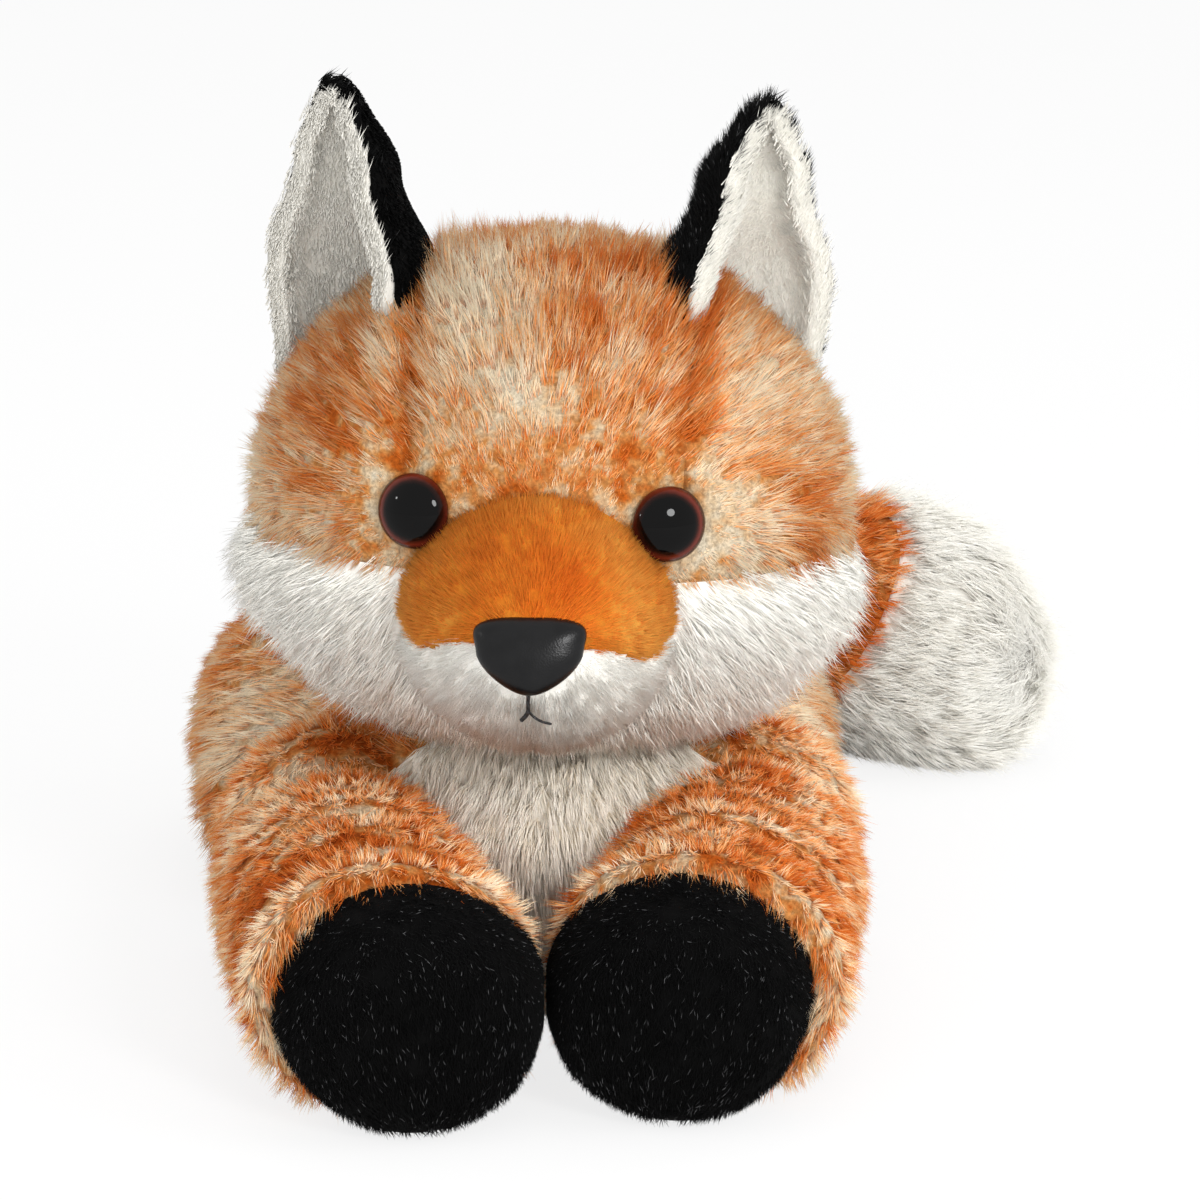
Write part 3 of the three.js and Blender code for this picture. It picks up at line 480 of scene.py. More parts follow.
def clothMaterial(finish):  # the backing under a pile: the same colours darkened as painted shade, the shade between the strands, with a short nap
    look = pileFinish[finish]
    material, tree, shader = newMaterial("cloth_" + finish, 0.95, 0.1)
    where = onObject(tree)
    tops = ramp(tree, patches(tree, where, look),
                [(place, tuple(c * look["cloth"] for c in colour(text))) for place, text in look["stops"]])
    nap = noise(tree, where, 1400, 3, 0.7)
    shade = ramp(tree, nap, [(0.35, look["nap"]), (0.65, 1)])
    tree.links.new(mixColour(tree, 1.0, tops, shade, "MULTIPLY"), shader.inputs["Base Color"])
    bump(tree, shader, nap, 0.4, 0.0008)
    return material


def hardMaterial(name, pattern, stops, roughness, dent=None, specular=0.5):
    # the pattern colours the surface and may dent it, and a list of roughness follows it too
    varies = isinstance(roughness, list)
    material, tree, shader = newMaterial(name, 0.5 if varies else roughness, specular)
    field = pattern(tree, onObject(tree))
    tree.links.new(ramp(tree, field, stops), shader.inputs["Base Color"])
    if varies:
        tree.links.new(ramp(tree, field, roughness), shader.inputs["Roughness"])
    if dent:
        bump(tree, shader, field, *dent)
    return material, tree, shader


piles = {finish: pileMaterial(finish) for finish in pileFinish}
cloths = {finish: clothMaterial(finish) for finish in pileFinish}
print("materials made")


def addPiece(name, mesh, material, body, replaced=(), seat=None, thickness=0):
    mesh.polygons.foreach_set("use_smooth", np.ones(len(mesh.polygons), bool))
    mesh.materials.append(material)
    piece = bpy.data.objects.new(name, mesh)
    bpy.context.scene.collection.objects.link(piece)
    if seat is not None:
        piece.matrix_world = seat
    if thickness:
        solidify = piece.modifiers.new("thickness", "SOLIDIFY")
        solidify.thickness, solidify.offset = thickness * mm, -1
    if replaced:
        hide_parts(*replaced)
    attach(piece, body)


def plainMesh(name, corners, faces):
    mesh = bpy.data.meshes.new(name)
    mesh.from_pydata([tuple(c) for c in np.asarray(corners) * mm], [], faces)
    mesh.update()
    return mesh


def addFact(mesh, name, values):  # a number for each corner, which the materials read
    mesh.attributes.new(name, "FLOAT", "POINT").data.foreach_set("value", values.astype(np.float32))


clothThickness = 1.4


def clothPanel(name, body, finish, corners, faces, keep, seams=(), replaced=(), toneAt=None):
    # a panel of backing cloth: a form cut along its seams, of which the faces to keep are left
    mesh = bpy.data.meshes.new(name)
    build = bmesh.new()
    made = [build.verts.new(c) for c in corners]
    for face in faces:
        build.faces.new([made[k] for k in face])
    for point, way in seams:
        geometry = build.verts[:] + build.edges[:] + build.faces[:]
        bmesh.ops.bisect_plane(build, geom=geometry, plane_co=point, plane_no=way, dist=1e-4)
    build.faces.ensure_lookup_table()
    wanted = keep(np.array([face.calc_center_median() for face in build.faces]))
    bmesh.ops.delete(build, geom=[face for face, ok in zip(build.faces, wanted) if not ok], context="FACES")
    bmesh.ops.remove_doubles(build, verts=build.verts, dist=1e-3)
    for vert in build.verts:
        vert.co = vert.co * mm
    build.to_mesh(mesh)
    build.free()
    if toneAt is not None:
        addFact(mesh, "tone", toneAt(np.array([vert.co for vert in mesh.vertices]) / mm))
    addPiece(name, mesh, cloths[finish], body, replaced, thickness=clothThickness)


# What a pile has unless its own dictionary says otherwise. Sizes are in mm, lean is in radians from upright at the root
# and at the tip, and swing, stray and the spreads of lean are how far tufts and strands turn from the flow.
usualPile = {"uneven": 0.3, "width": 0.15, "segments": 1, "lean": (0.9, 1.2), "tuft": 1.2, "perTuft": 8,
             "spacing": 1.9, "gather": 0.6, "droop": 0.05, "swing": 0.2, "stray": 0.14, "leanSpread": 0.1,
             "strandLeanSpread": 0.08, "mostLean": 1.62, "strandLengths": (0.78, 1.08), "strandWidths": (0.7, 1.25),
             "tint": (0.5, 0.22), "sunk": 0.5, "lowest": 0.25, "cornersLowest": 0.1, "taper": 0.55}


def scatter(corners, faces, look, random, keep):  # tufts spread over a form, with the way out of it
    normals = cornerNormals(corners, faces)
    triangles = np.array([t for f in faces for t in ([f[:3]] if len(f) == 3 else [f[:3], (f[0], f[2], f[3])])])
    a, b, c = (corners[triangles[:, k]] for k in range(3))
    area = np.linalg.norm(np.cross(b - a, c - a), axis=1) / 2
    spacing = look.get("spacing", usualPile["spacing"]) / math.sqrt(pileShare)
    count = int(area.sum() / spacing ** 2)
    picked = random.choice(len(triangles), count, p=area / area.sum())
    u, v = random.random(count), random.random(count)
    over = u + v > 1
    u[over], v[over] = 1 - u[over], 1 - v[over]
    weights = np.stack([1 - u - v, u, v], -1)[..., None]
    roots = (corners[triangles[picked]] * weights).sum(1)
    outward = unit((normals[triangles[picked]] * weights).sum(1))
    kept = keep(roots)
    return roots[kept], outward[kept]


def strandFaces(count, segments):  # three-sided strands that end in a point, as corner numbers in one row
    perStrand = 3 * segments + 1
    quads = [(3 * s + k, 3 * s + (k + 1) % 3, 3 * s + 3 + (k + 1) % 3, 3 * s + 3 + k)
             for s in range(segments - 1) for k in range(3)]
    tips = [(3 * (segments - 1) + k, 3 * (segments - 1) + (k + 1) % 3, perStrand - 1) for k in range(3)]
    base = np.arange(count)[:, None, None] * perStrand
    quadLoops = (base + np.array(quads, int).reshape(-1, 4)).reshape(-1)
    tipLoops = (base + np.array(tips)).reshape(-1)
    return quadLoops, tipLoops


def strandMap(mesh, count, segments, margin=0.08):  # a cell for each strand, three sides wide and its length high
    inside = 1 - 2 * margin
    across = math.ceil(math.sqrt(count))
    cell = 1 / across
    corner = np.stack([np.arange(count) % across, np.arange(count) // across], -1) * cell
    quads = np.array([[((k + e) / 3, (s + h) / segments)
                       for e, h in ((margin, 0), (1 - margin, 0), (1 - margin, 1), (margin, 1))]
                      for s in range(segments - 1) for k in range(3)]).reshape(-1, 4, 2)
    tips = np.array([[((k + e) / 3, (segments - 1 + h) / segments)
                      for e, h in ((margin, 0), (1 - margin, 0), (0.5, 1))] for k in range(3)])
    places = [(corner[:, None, None, :] + (margin + inside * part)[None] * cell).reshape(-1, 2)
              for part in (quads, tips) if part.size]
    mesh.uv_layers.new(name="OFBake").data.foreach_set("uv", np.concatenate(places).astype(np.float32).ravel())


def growPile(name, body, finish, roots, outward, flow, look, seed, lengthAt=None, toneAt=None):
    # tufts of tapered strands. roots are the tufts' middles, flow is the way the pile is brushed
    look = {**usualPile, **look}
    random = np.random.default_rng(seed)
    tufts, segments = len(roots), look["segments"]
    flow = unit(flow - (flow * outward).sum(1, keepdims=True) * outward)
    swing = random.normal(0, look["swing"], tufts)[:, None]
    flow = flow * np.cos(swing) + np.cross(outward, flow) * np.sin(swing)
    length = look["length"] * random.uniform(1 - look["uneven"], 1 + look["uneven"] * 0.6, tufts)
    if lengthAt is not None:
        length = length * lengthAt(roots)
    lean = random.normal(0, look["leanSpread"], tufts)

    root, out, way, length, lean = (np.repeat(values, look["perTuft"], axis=0)
                                    for values in (roots, outward, flow, length, lean))
    count = len(root)
    beside = np.cross(out, way)
    reach, turn = look["tuft"] * np.sqrt(random.random(count)), random.random(count) * 2 * math.pi
    offset = way * (reach * np.cos(turn))[:, None] + beside * (reach * np.sin(turn))[:, None]
    swing = random.normal(0, look["stray"], count)[:, None]
    way = way * np.cos(swing) + beside * np.sin(swing)
    length = length * random.uniform(*look["strandLengths"], count)
    lean = lean + random.normal(0, look["strandLeanSpread"], count)
    at = root + offset - out * look["sunk"]
    line = [at]
    for step in range(segments):
        share = (step + 0.5) / segments
        angle = look["lean"][0] + (look["lean"][1] - look["lean"][0]) * share + lean
        angle = np.clip(angle, 0, look["mostLean"])[:, None]
        heading = out * np.cos(angle) + way * np.sin(angle) - up * (look["droop"] * share)
        at = at + unit(heading) * (length / segments)[:, None]
        line.append(at)
    steps = np.linspace(0, 1, segments + 1)
    line = np.stack(line, 1) - offset[:, None, :] * (steps * look["gather"])[None, :, None]
    line[..., 2] = np.maximum(line[..., 2], look["lowest"])
    width = look["width"] * random.uniform(*look["strandWidths"], count)

    first = unit(np.cross(unit(np.diff(line, axis=1)), beside[:, None, :] + 1e-4))
    second = np.cross(unit(np.diff(line, axis=1)), first)
    around = random.random(count) * 2 * math.pi
    rings = []
    for step in range(segments):
        radius = width * (1 - look["taper"] * step / segments)
        for corner in range(3):
            phase = around + corner * 2 * math.pi / 3
            rings.append(line[:, step] + first[:, step] * (radius * np.cos(phase))[:, None]
                         + second[:, step] * (radius * np.sin(phase))[:, None])
    rings.append(line[:, -1])
    perStrand = len(rings)
    corners = onFloor(np.stack(rings, 1).reshape(-1, 3), look["cornersLowest"])

    quadLoops, tipLoops = strandFaces(count, segments)
    quadCount, tipCount = len(quadLoops) // 4, len(tipLoops) // 3
    starts = np.concatenate([np.arange(quadCount) * 4, len(quadLoops) + np.arange(tipCount) * 3])
    mesh = bpy.data.meshes.new(name)
    mesh.vertices.add(len(corners))
    mesh.vertices.foreach_set("co", (corners * mm).astype(np.float32).ravel())
    mesh.loops.add(len(quadLoops) + len(tipLoops))
    mesh.loops.foreach_set("vertex_index", np.concatenate([quadLoops, tipLoops]).astype(np.int32))
    mesh.polygons.add(quadCount + tipCount)
    mesh.polygons.foreach_set("loop_start", starts.astype(np.int32))
    mesh.update(calc_edges=True)

    rootData = mesh.attributes.new("root", "FLOAT_VECTOR", "POINT")
    rootData.data.foreach_set("vector", (np.repeat(root, perStrand, axis=0) * mm).astype(np.float32).ravel())
    addFact(mesh, "along", np.tile(np.concatenate([np.repeat(steps[:-1], 3), [1.0]]), count))
    addFact(mesh, "tint", np.repeat(np.clip(random.normal(*look["tint"], count), 0, 1), perStrand))
    addFact(mesh, "tone", np.repeat(np.zeros(count) if toneAt is None else toneAt(root), perStrand))
    strandMap(mesh, count, segments)
    addPiece(name, mesh, piles[finish], body)
    print(name, count, "strands", quadCount + tipCount, "faces")


headLook = {
    "pile": {"length": 7, "width": 0.13, "lean": (0.9, 1.15), "tuft": 1.0, "spacing": 1.6, "swing": 0.18},
    "cheekPile": {"length": 11, "uneven": 0.2, "width": 0.14, "segments": 2, "lean": (0.95, 1.4), "perTuft": 7,
                  "spacing": 1.75, "gather": 0.4, "droop": 0.15, "swing": 0.14},
    "lumps": (38, 3), "lumpDepth": 0.7, "eyeSpread": 25, "eyeRise": 4.2, "eyeSocket": 1.6, "socketReach": 10,
    "eyeClear": 8.3, "seam": 2.6, "seamWidth": 2.6, "cheekSeam": 1.4, "cheekSeamWidth": 3, "seamTone": 0.13,
    "toneWidth": 3.2, "borderMix": 0.8, "whorl": (0, -54, -4.0), "cheekWay": (0, 0.1, -0.55), "eyeWhorl": 1.6,
    "eyeWhorlReach": 13, "cheekFall": 1.1, "cheekFallReach": 7, "byEyes": (0.22, 8, 19), "bridge": (0, -46, 6),
    "onBridge": 0.45, "crest": 0.5, "crestAside": 24, "crestReach": 9,
    "patches": [(-16, 40, 10, -0.07), (-9, 23, 8, -0.08), (13, 34, 5, -0.05), (4, 42, 8, 0.06), (14, 20, 10, 0.09),
                (-23, 26, 4, 0.08), (-5, 12, 6, 0.08), (40, 20, 22, -0.04), (-40, 10, 20, 0.03)],
}
eyeSeats = {sideName: frontOf(head, sign * headLook["eyeSpread"], headLook["eyeRise"]) for sideName, sign in bothSides}


def headTone(points):  # paler and darker patches of the mottled plush, and rust in the forehead's seams
    local = toHead(points)
    onSeam = ridge(np.abs(local[:, 0]) - head["foreheadHalf"], headLook["toneWidth"])
    tone = headLook["seamTone"] * onSeam * grade(local[:, 2], 4, 16)
    for aside, above, reach, amount in headLook["patches"]:
        tone = tone + amount * ridge(np.hypot(local[:, 0] - aside, local[:, 2] - above), reach) * (local[:, 1] < 5)
    return tone


def makeHead():
    half, cheekTop = head["foreheadHalf"], head["cheekTop"]
    corners, faces = loftedMesh(lambda place, angle: roundPoints(head, place, angle), 72, 112)
    depth = stuffed(headLook, corners)
    for point, _ in eyeSeats.values():
        depth -= headLook["eyeSocket"] * ridge(np.linalg.norm(corners - point, axis=1), headLook["socketReach"])
    onCrown, onFront = grade(corners[:, 2], -2, 12), grade(-corners[:, 1], 0, 20)
    for sign in (1, -1):
        depth -= headLook["seam"] * onCrown * ridge(corners[:, 0] - sign * half, headLook["seamWidth"])
    depth -= headLook["cheekSeam"] * onFront * ridge(corners[:, 2] - cheekTop, headLook["cheekSeamWidth"])
    world = fromHead(pushedOut(corners, faces, depth))

    def shown(points, margin):  # not hidden in the muzzle, nor so deep in the torso that no nod uncovers it
        return ~(insideRound(muzzle, toHead(points), margin) | inTorso(points, margin + overlap["head"]))

    def regionOf(name):
        sign = 1 if name.endswith("left") else -1

        def region(local):
            isCheek = (local[:, 2] < cheekTop) & (local[:, 1] < head["cheekBack"])
            if name.startswith("cheek"):
                return isCheek & (sign * local[:, 0] >= 0)
            if name.startswith("head_side"):
                return ~isCheek & (sign * local[:, 0] >= half)
            return ~isCheek & (np.abs(local[:, 0]) < half)
        return region

    middle, (across, ahead, upward) = Vector(neckPivot), [Vector(headSpin[:, k]) for k in range(3)]
    seams = [(middle + across * half, across), (middle - across * half, across), (middle, across),
             (middle + ahead * head["cheekBack"], ahead), (middle + upward * cheekTop, upward)]

    def eyeClear(local):
        return np.minimum(*[np.linalg.norm(local - point, axis=1) for point, _ in eyeSeats.values()])

    def brushed(local, isPlain):  # away from the muzzle and round the eyes
        way = unit(local - np.array(headLook["whorl"]))
        if isPlain:
            way = way + np.array(headLook["cheekWay"])
        for point, _ in eyeSeats.values():
            away = local - point
            turned = headLook["eyeWhorl"] * ridge(np.linalg.norm(away, axis=1), headLook["eyeWhorlReach"])
            way = way + unit(away) * turned[:, None]
        if not isPlain:  # it falls over the top of the cheeks
            way[:, 2] -= headLook["cheekFall"] * ridge(local[:, 2] - cheekTop, headLook["cheekFallReach"])
        return way

    def lengthAt(points):  # short round the eyes and the bridge of the nose, long in front of the ears
        local = toHead(points)
        shortest, near, far = headLook["byEyes"]
        short = shortest + (1 - shortest) * grade(eyeClear(local), near, far)
        bridge = grade(np.linalg.norm(local - np.array(headLook["bridge"]), axis=1), 8, 28)
        crest = ridge(np.abs(local[:, 0]) - headLook["crestAside"], headLook["crestReach"])
        crown = 1 + headLook["crest"] * crest * grade(local[:, 2], 36, 44)
        return short * (headLook["onBridge"] + (1 - headLook["onBridge"]) * bridge) * crown

    random = np.random.default_rng(11)
    for name in ("forehead_panel", "head_side_left", "head_side_right", "cheek_left", "cheek_right"):
        region = regionOf(name)
        isPlain = name.startswith("cheek")
        finish, toneAt = ("white", None) if isPlain else ("mottled", headTone)
        label = name.replace("_panel", "")
        clothPanel(label + "_cloth", "head", finish, world, faces,
                   lambda centres: region(toHead(centres)) & shown(centres, 3), seams, [name], toneAt)
        look = headLook["cheekPile" if isPlain else "pile"]

        def grows(roots):
            local = toHead(roots)
            spread = local + random.normal(0, headLook["borderMix"], local.shape)
            return region(spread) & shown(roots, -0.6) & (eyeClear(local) > headLook["eyeClear"])

        roots, outward = scatter(world, faces, look, random, grows)
        growPile(label + "_pile", "head", finish, roots, outward, brushed(toHead(roots), isPlain) @ headSpin.T, look,
                 100 + len(roots) % 97, lengthAt, toneAt)
    print("head made")


muzzleLook = {
    "topPile": {"length": 4.0, "uneven": 0.2, "width": 0.12, "lean": (1.0, 1.2), "perTuft": 7, "spacing": 1.08,
                "gather": 0.1, "droop": 0, "swing": 0.07, "stray": 0.12, "leanSpread": 0.04},
    "lowerPile": {"length": 5.0, "uneven": 0.2, "width": 0.12, "lean": (1.0, 1.25), "tuft": 1.3, "perTuft": 7,
                  "spacing": 1.2, "gather": 0.15, "droop": 0.1, "swing": 0.08, "stray": 0.2, "leanSpread": 0.04},
    "lumps": (24, 8), "lumpDepth": 0.35, "lipSeam": 1.2, "lipWidth": 1.8, "lobe": 22, "lobeDrop": 4.5,
    "lobeReach": 6, "chinCleft": 0.8, "cleftWidth": 2.0, "cleftBelow": 6, "redSpot": (6, -5), "redReach": 8,
    "red": -0.16, "nearTone": -0.08, "farTone": 0.24, "toneReach": 26, "noseClear": 0.92,
}
noseLook = {"width": 21.5, "height": 15, "depth": 4.5, "tilt": 20, "lift": -1.8, "sides": 72, "rows": 14, "edge": 0.8}
noseSeat = frontOf(muzzle, 0, noseLook["lift"])[0]


def muzzleTone(points):  # redder above the nose, golden at the edges
    local = toHead(points)
    away = np.hypot(local[:, 0] - muzzleLook["redSpot"][0], local[:, 2] - muzzleLook["redSpot"][1])
    golden = muzzleLook["farTone"] * grade(away, 0, muzzleLook["toneReach"])
    return golden + muzzleLook["nearTone"] + muzzleLook["red"] * ridge(away, muzzleLook["redReach"])


def lipAt(aside):  # the orange plush droops in a lobe on each side of the nose
    return muzzle["lip"] - muzzleLook["lobeDrop"] * ridge(np.abs(aside) - muzzleLook["lobe"], muzzleLook["lobeReach"])


def makeMuzzle():
    corners, faces = loftedMesh(lambda place, angle: roundPoints(muzzle, place, angle), 90, 120)
    depth = stuffed(muzzleLook, corners)
    depth -= muzzleLook["lipSeam"] * ridge(corners[:, 2] - lipAt(corners[:, 0]), muzzleLook["lipWidth"])
    depth -= (muzzleLook["chinCleft"] * grade(-corners[:, 1], 40, 50) * ridge(corners[:, 0], muzzleLook["cleftWidth"])
              * (corners[:, 2] < muzzle["lip"] - muzzleLook["cleftBelow"]))
    world = fromHead(pushedOut(corners, faces, depth))
    random = np.random.default_rng(21)
    for name, finish, upper in (("muzzle_top", "orange", True), ("muzzle_lower", "white", False)):
        def kept(points, margin):
            local = toHead(points)
            return ((local[:, 2] > lipAt(local[:, 0])) == upper) & ~insideRound(head, local, margin)

        def grows(roots):
            away = (toHead(roots) - noseSeat) / np.array([noseLook["width"] / 2, 8, noseLook["height"] / 2])
            return kept(roots, 0.3) & (np.linalg.norm(away, axis=1) > muzzleLook["noseClear"])

        clothPanel(name + "_cloth", "head", finish, world, faces, lambda centres: kept(centres, 3), replaced=[name],
                   toneAt=muzzleTone)
        look = muzzleLook["topPile" if upper else "lowerPile"]
        roots, outward = scatter(world, faces, look, random, grows)
        way = (toHead(roots) - noseSeat - np.array([0, -6, 0])) @ headSpin.T - up * (0 if upper else 8)
        growPile(name + "_pile", "head", finish, roots, outward, way, look, 31, toneAt=muzzleTone)
    print("muzzle made")


makeHead()
makeMuzzle()

eyeLook = {"radius": 7.4, "dome": 4.6, "sink": 1.2, "shank": 2.0, "shankLength": 8, "sides": 48,
           "iris": "#1E0A06", "ring": "#5E2013", "inward": 1.1, "upward": 0.4}


def seatFrame(point, outward):  # a frame at a seat, with its Z on the way out
    world = fromHead(np.array([point]))[0] * mm
    way = Vector(headSpin @ np.asarray(outward))
    return Matrix.Translation(Vector(world)) @ way.to_track_quat("Z", "Y").to_matrix().to_4x4()


def makeEye(sideName, sign, seat):
    def pupil(tree, where):  # it sits a little towards the nose, so the red ring shows on the outer side
        middle = (-sign * eyeLook["inward"] * mm, eyeLook["upward"] * mm, 0)
        where = node(tree, "ShaderNodeVectorMath", {0: where, 1: middle}, operation="SUBTRACT").outputs[0]
        flat = node(tree, "ShaderNodeVectorMath", {0: where, 1: (1, 1, 0)}, operation="MULTIPLY").outputs[0]
        away = node(tree, "ShaderNodeVectorMath", {0: flat}, operation="LENGTH").outputs["Value"]
        flecks = combined(tree, noise(tree, where, 900, 3), 0.5, "SUBTRACT")
        return combined(tree, combined(tree, away, eyeLook["radius"] * mm, "DIVIDE"), times(tree, flecks, 0.05))

    stops = [(0.0, (0.001, 0.001, 0.001)), (0.7, (0.0012, 0.001, 0.001)), (0.78, colour(eyeLook["iris"])),
             (0.9, colour(eyeLook["ring"])), (1.0, (0.03, 0.006, 0.004))]
    material = hardMaterial("eye_gloss_" + sideName, pupil, stops, 0.04, specular=0.14)[0]
    radius, dome, sink = eyeLook["radius"], eyeLook["dome"], eyeLook["sink"]
    shank, low = eyeLook["shank"], -eyeLook["shankLength"]
    arc = [(radius * math.cos(a), dome * math.sin(a) - sink) for a in np.linspace(0, math.pi / 2, 14)[:-1]]
    profile = [(0, low), (shank * 0.7, low), (shank, low + 0.8), (shank, -sink - 0.5), (shank + 0.5, -sink - 0.25),
               (radius - 0.6, -sink - 0.2), *arc, (0, dome - sink)]
    mesh = plainMesh("eye_dome_" + sideName, *turnedMesh(profile, eyeLook["sides"]))
    addPiece("eye_dome_" + sideName, mesh, material, "head", ["eye_" + sideName], seatFrame(*seat))


def makeNose():
    material, tree, shader = hardMaterial(
        "nose_satin", lambda tree, where: noise(tree, where, 260, 3),
        [(0.35, colour("#070708")), (0.65, colour("#0C0C0D"))], [(0.3, 0.28), (0.7, 0.35)], specular=0.25)
    grain = node(tree, "ShaderNodeTexVoronoi", {"Vector": onObject(tree), "Scale": 2600}, feature="F1")
    bump(tree, shader, grain.outputs["Distance"], 0.12, 0.0002)

    tilt, sides, rows, edge = math.radians(noseLook["tilt"]), noseLook["sides"], noseLook["rows"], noseLook["edge"]
    angle = 2 * np.pi * np.arange(sides) / sides
    rise = (np.sin(angle) + 1) / 2
    wide = noseLook["width"] / 2 * np.sign(np.cos(angle)) * np.abs(np.cos(angle)) ** 0.75
    wide = wide * (0.3 + 0.7 * rise ** 0.62) / 0.807  # narrow below, a rounded triangle
    bluntness = np.where(np.sin(angle) > 0, 0.56, 0.9)
    high = noseLook["height"] / 2 * np.sign(np.sin(angle)) * np.abs(np.sin(angle)) ** bluntness
    levels = [(0.6, -0.6), (0.93, -0.6), (0.985, 0.1)]  # each ring's share of the outline, and its height
    for turn in (math.pi / 2 * row / rows for row in range(rows)):
        levels.append((math.cos(turn) ** 0.8, edge + (noseLook["depth"] - edge) * math.sin(turn)))
    corners = [(0, 0, -0.6)]
    for share, lift in levels:
        corners += [(wide[k] * share, high[k] * share, lift) for k in range(sides)]
    corners.append((0, 0, noseLook["depth"]))
    mesh = plainMesh("nose_button", corners, ringFaces(len(levels), sides))
    seat = seatFrame(noseSeat, [0, -math.cos(tilt), math.sin(tilt)])
    addPiece("nose_button", mesh, material, "head", ["nose"], seat)


# Stitches: one down from the nose, then a short one to one side and a longer one to the other, each with its radius.
mouthLook = {"routes": [([(0, -8.4), (0, -11.2), (0.1, -12.6)], 0.38),
                        ([(0.1, -12.0), (-0.4, -13.2), (-1.3, -14.4)], 0.42),
                        ([(0.1, -12.2), (1.2, -13.5), (2.6, -14.4), (4.2, -14.9)], 0.26)], "lift": 1.9}


def makeMouth():
    corners, faces = np.zeros((0, 3)), []
    for route, radius in mouthLook["routes"]:
        seats = [frontOf(muzzle, aside, above) for aside, above in route]
        points = curveThrough([point + outward * mouthLook["lift"] for point, outward in seats], 10)["points"]
        radii = np.full(len(points), radius)
        radii[-1] = radius * 0.5
        more, moreFaces = tubeMesh(points, radii)
        faces += [tuple(k + len(corners) for k in face) for face in moreFaces]
        corners = np.concatenate([corners, more])
    material = hardMaterial("thread_black", lambda tree, where: wave(tree, where, 700, 2, "DIAGONAL"),
                            [(0.2, (0.004, 0.004, 0.004)), (0.8, (0.02, 0.02, 0.021))], 0.6, (0.5, 0.0003))[0]
    addPiece("mouth_thread", plainMesh("mouth_thread", fromHead(corners), faces), material, "head",
             ["mouth_stitch"])


for sideName, sign in bothSides:
    makeEye(sideName, sign, eyeSeats[sideName])
makeNose()
makeMouth()
print("eyes, nose and mouth made")

earLook = {"height": 63.5, "base": 40, "tip": 5.5, "spread": 43, "shift": 3, "back": 1, "root": 17, "cup": 88,
           "open": 50, "lean": 7, "shares": [(0, 0.8), (0.38, 1), (0.72, 0.5), (1, 0)], "cloth": 2.2, "rim": 1.5,
           "columns": 28, "rows": 30,
           "backPile": {"length": 3.6, "uneven": 0.25, "width": 0.13, "lean": (0.75, 1.05), "tuft": 1.5, "perTuft": 7,
                        "spacing": 1.35, "gather": 0.2, "droop": 0, "swing": 0.3},
           "liningPile": {"length": 3.2, "uneven": 0.1, "width": 0.14, "lean": (1.0, 1.2), "tuft": 1.7, "perTuft": 7,
                          "spacing": 1.2, "gather": 0, "droop": 0, "swing": 0.06, "stray": 0.25, "leanSpread": 0.03}}


def earPoints(sign, aside, along, offset):
    cup, turn = math.radians(earLook["cup"]), math.radians(earLook["open"])
    opening = np.array([sign * math.sin(turn), -math.cos(turn), 0])
    across = np.cross(opening, up)
    chord = earLook["tip"] + (earLook["base"] - earLook["tip"]) * ease(earLook["shares"], along)
    chord = chord * np.sqrt(1 - 0.96 * np.clip((along - 0.93) / 0.07, 0, 1) ** 2)
    radius = chord / (2 * math.sin(cup))
    outward = -opening * np.cos(aside * cup)[..., None] + across * np.sin(aside * cup)[..., None]
    middle = np.stack([sign * earLook["spread"] - earLook["shift"] + 0 * along,
                       earLook["back"] - earLook["lean"] * along, earLook["root"] + earLook["height"] * along], -1)
    return middle + outward * (radius + offset)[..., None] + opening * (radius * math.cos(cup))[..., None]


def shellFaces(columns, rows):  # two sheets of a grid, joined all round their edges
    def at(far, row, column):
        return (far * (rows + 1) + row) * (columns + 1) + column

    faces = []
    for row in range(rows):
        for column in range(columns):
            faces += [(at(1, row, column), at(1, row, column + 1), at(1, row + 1, column + 1), at(1, row + 1, column)),
                      (at(0, row, column), at(0, row + 1, column), at(0, row + 1, column + 1), at(0, row, column + 1))]
        faces += [(at(0, row, 0), at(1, row, 0), at(1, row + 1, 0), at(0, row + 1, 0)),
                  (at(1, row, columns), at(0, row, columns), at(0, row + 1, columns), at(1, row + 1, columns))]
    for column in range(columns):
        faces += [(at(0, 0, column), at(0, 0, column + 1), at(1, 0, column + 1), at(1, 0, column)),
                  (at(0, rows, column), at(1, rows, column), at(1, rows, column + 1), at(0, rows, column + 1))]
    return faces


def makeEar(sideName, sign, name, finish, low, high, reach, rise):
    outer, columns, rows = name == "ear_back", earLook["columns"], earLook["rows"]
    aside, along = np.meshgrid(np.linspace(-reach, reach, columns + 1), np.linspace(0, rise, rows + 1))
    rim = 0 if outer else earLook["rim"] * ridge(np.abs(aside) - reach, 0.16)
    layers = [earPoints(sign, aside, along, offset + rim * way).reshape(-1, 3)
              for offset, way in ((low, -1), (high, 1))]
    faces = shellFaces(columns, rows)
    if sign < 0:
        faces = [face[::-1] for face in faces]
    world = fromHead(np.concatenate(layers))
    cloth = f"{name}_cloth_{sideName}"
    addPiece(cloth, plainMesh(cloth, world, faces), cloths[finish], "head", [f"{name}_{sideName}"])

    layer = len(layers[0])
    shell = [f for f in faces if (min(f) >= layer) == outer or (max(f) >= layer and min(f) < layer)]
    look = earLook["backPile" if outer else "liningPile"]
    roots, outward = scatter(world, shell, look, np.random.default_rng(41 + sign),
                             lambda roots: ~insideRound(head, toHead(roots), -0.5))
    tip = fromHead(np.array([[sign * earLook["spread"], 0, earLook["root"] + earLook["height"] + 30]]))[0]
    growPile(f"{name}_pile_{sideName}", "head", finish, roots, outward, tip - roots, look, 43)


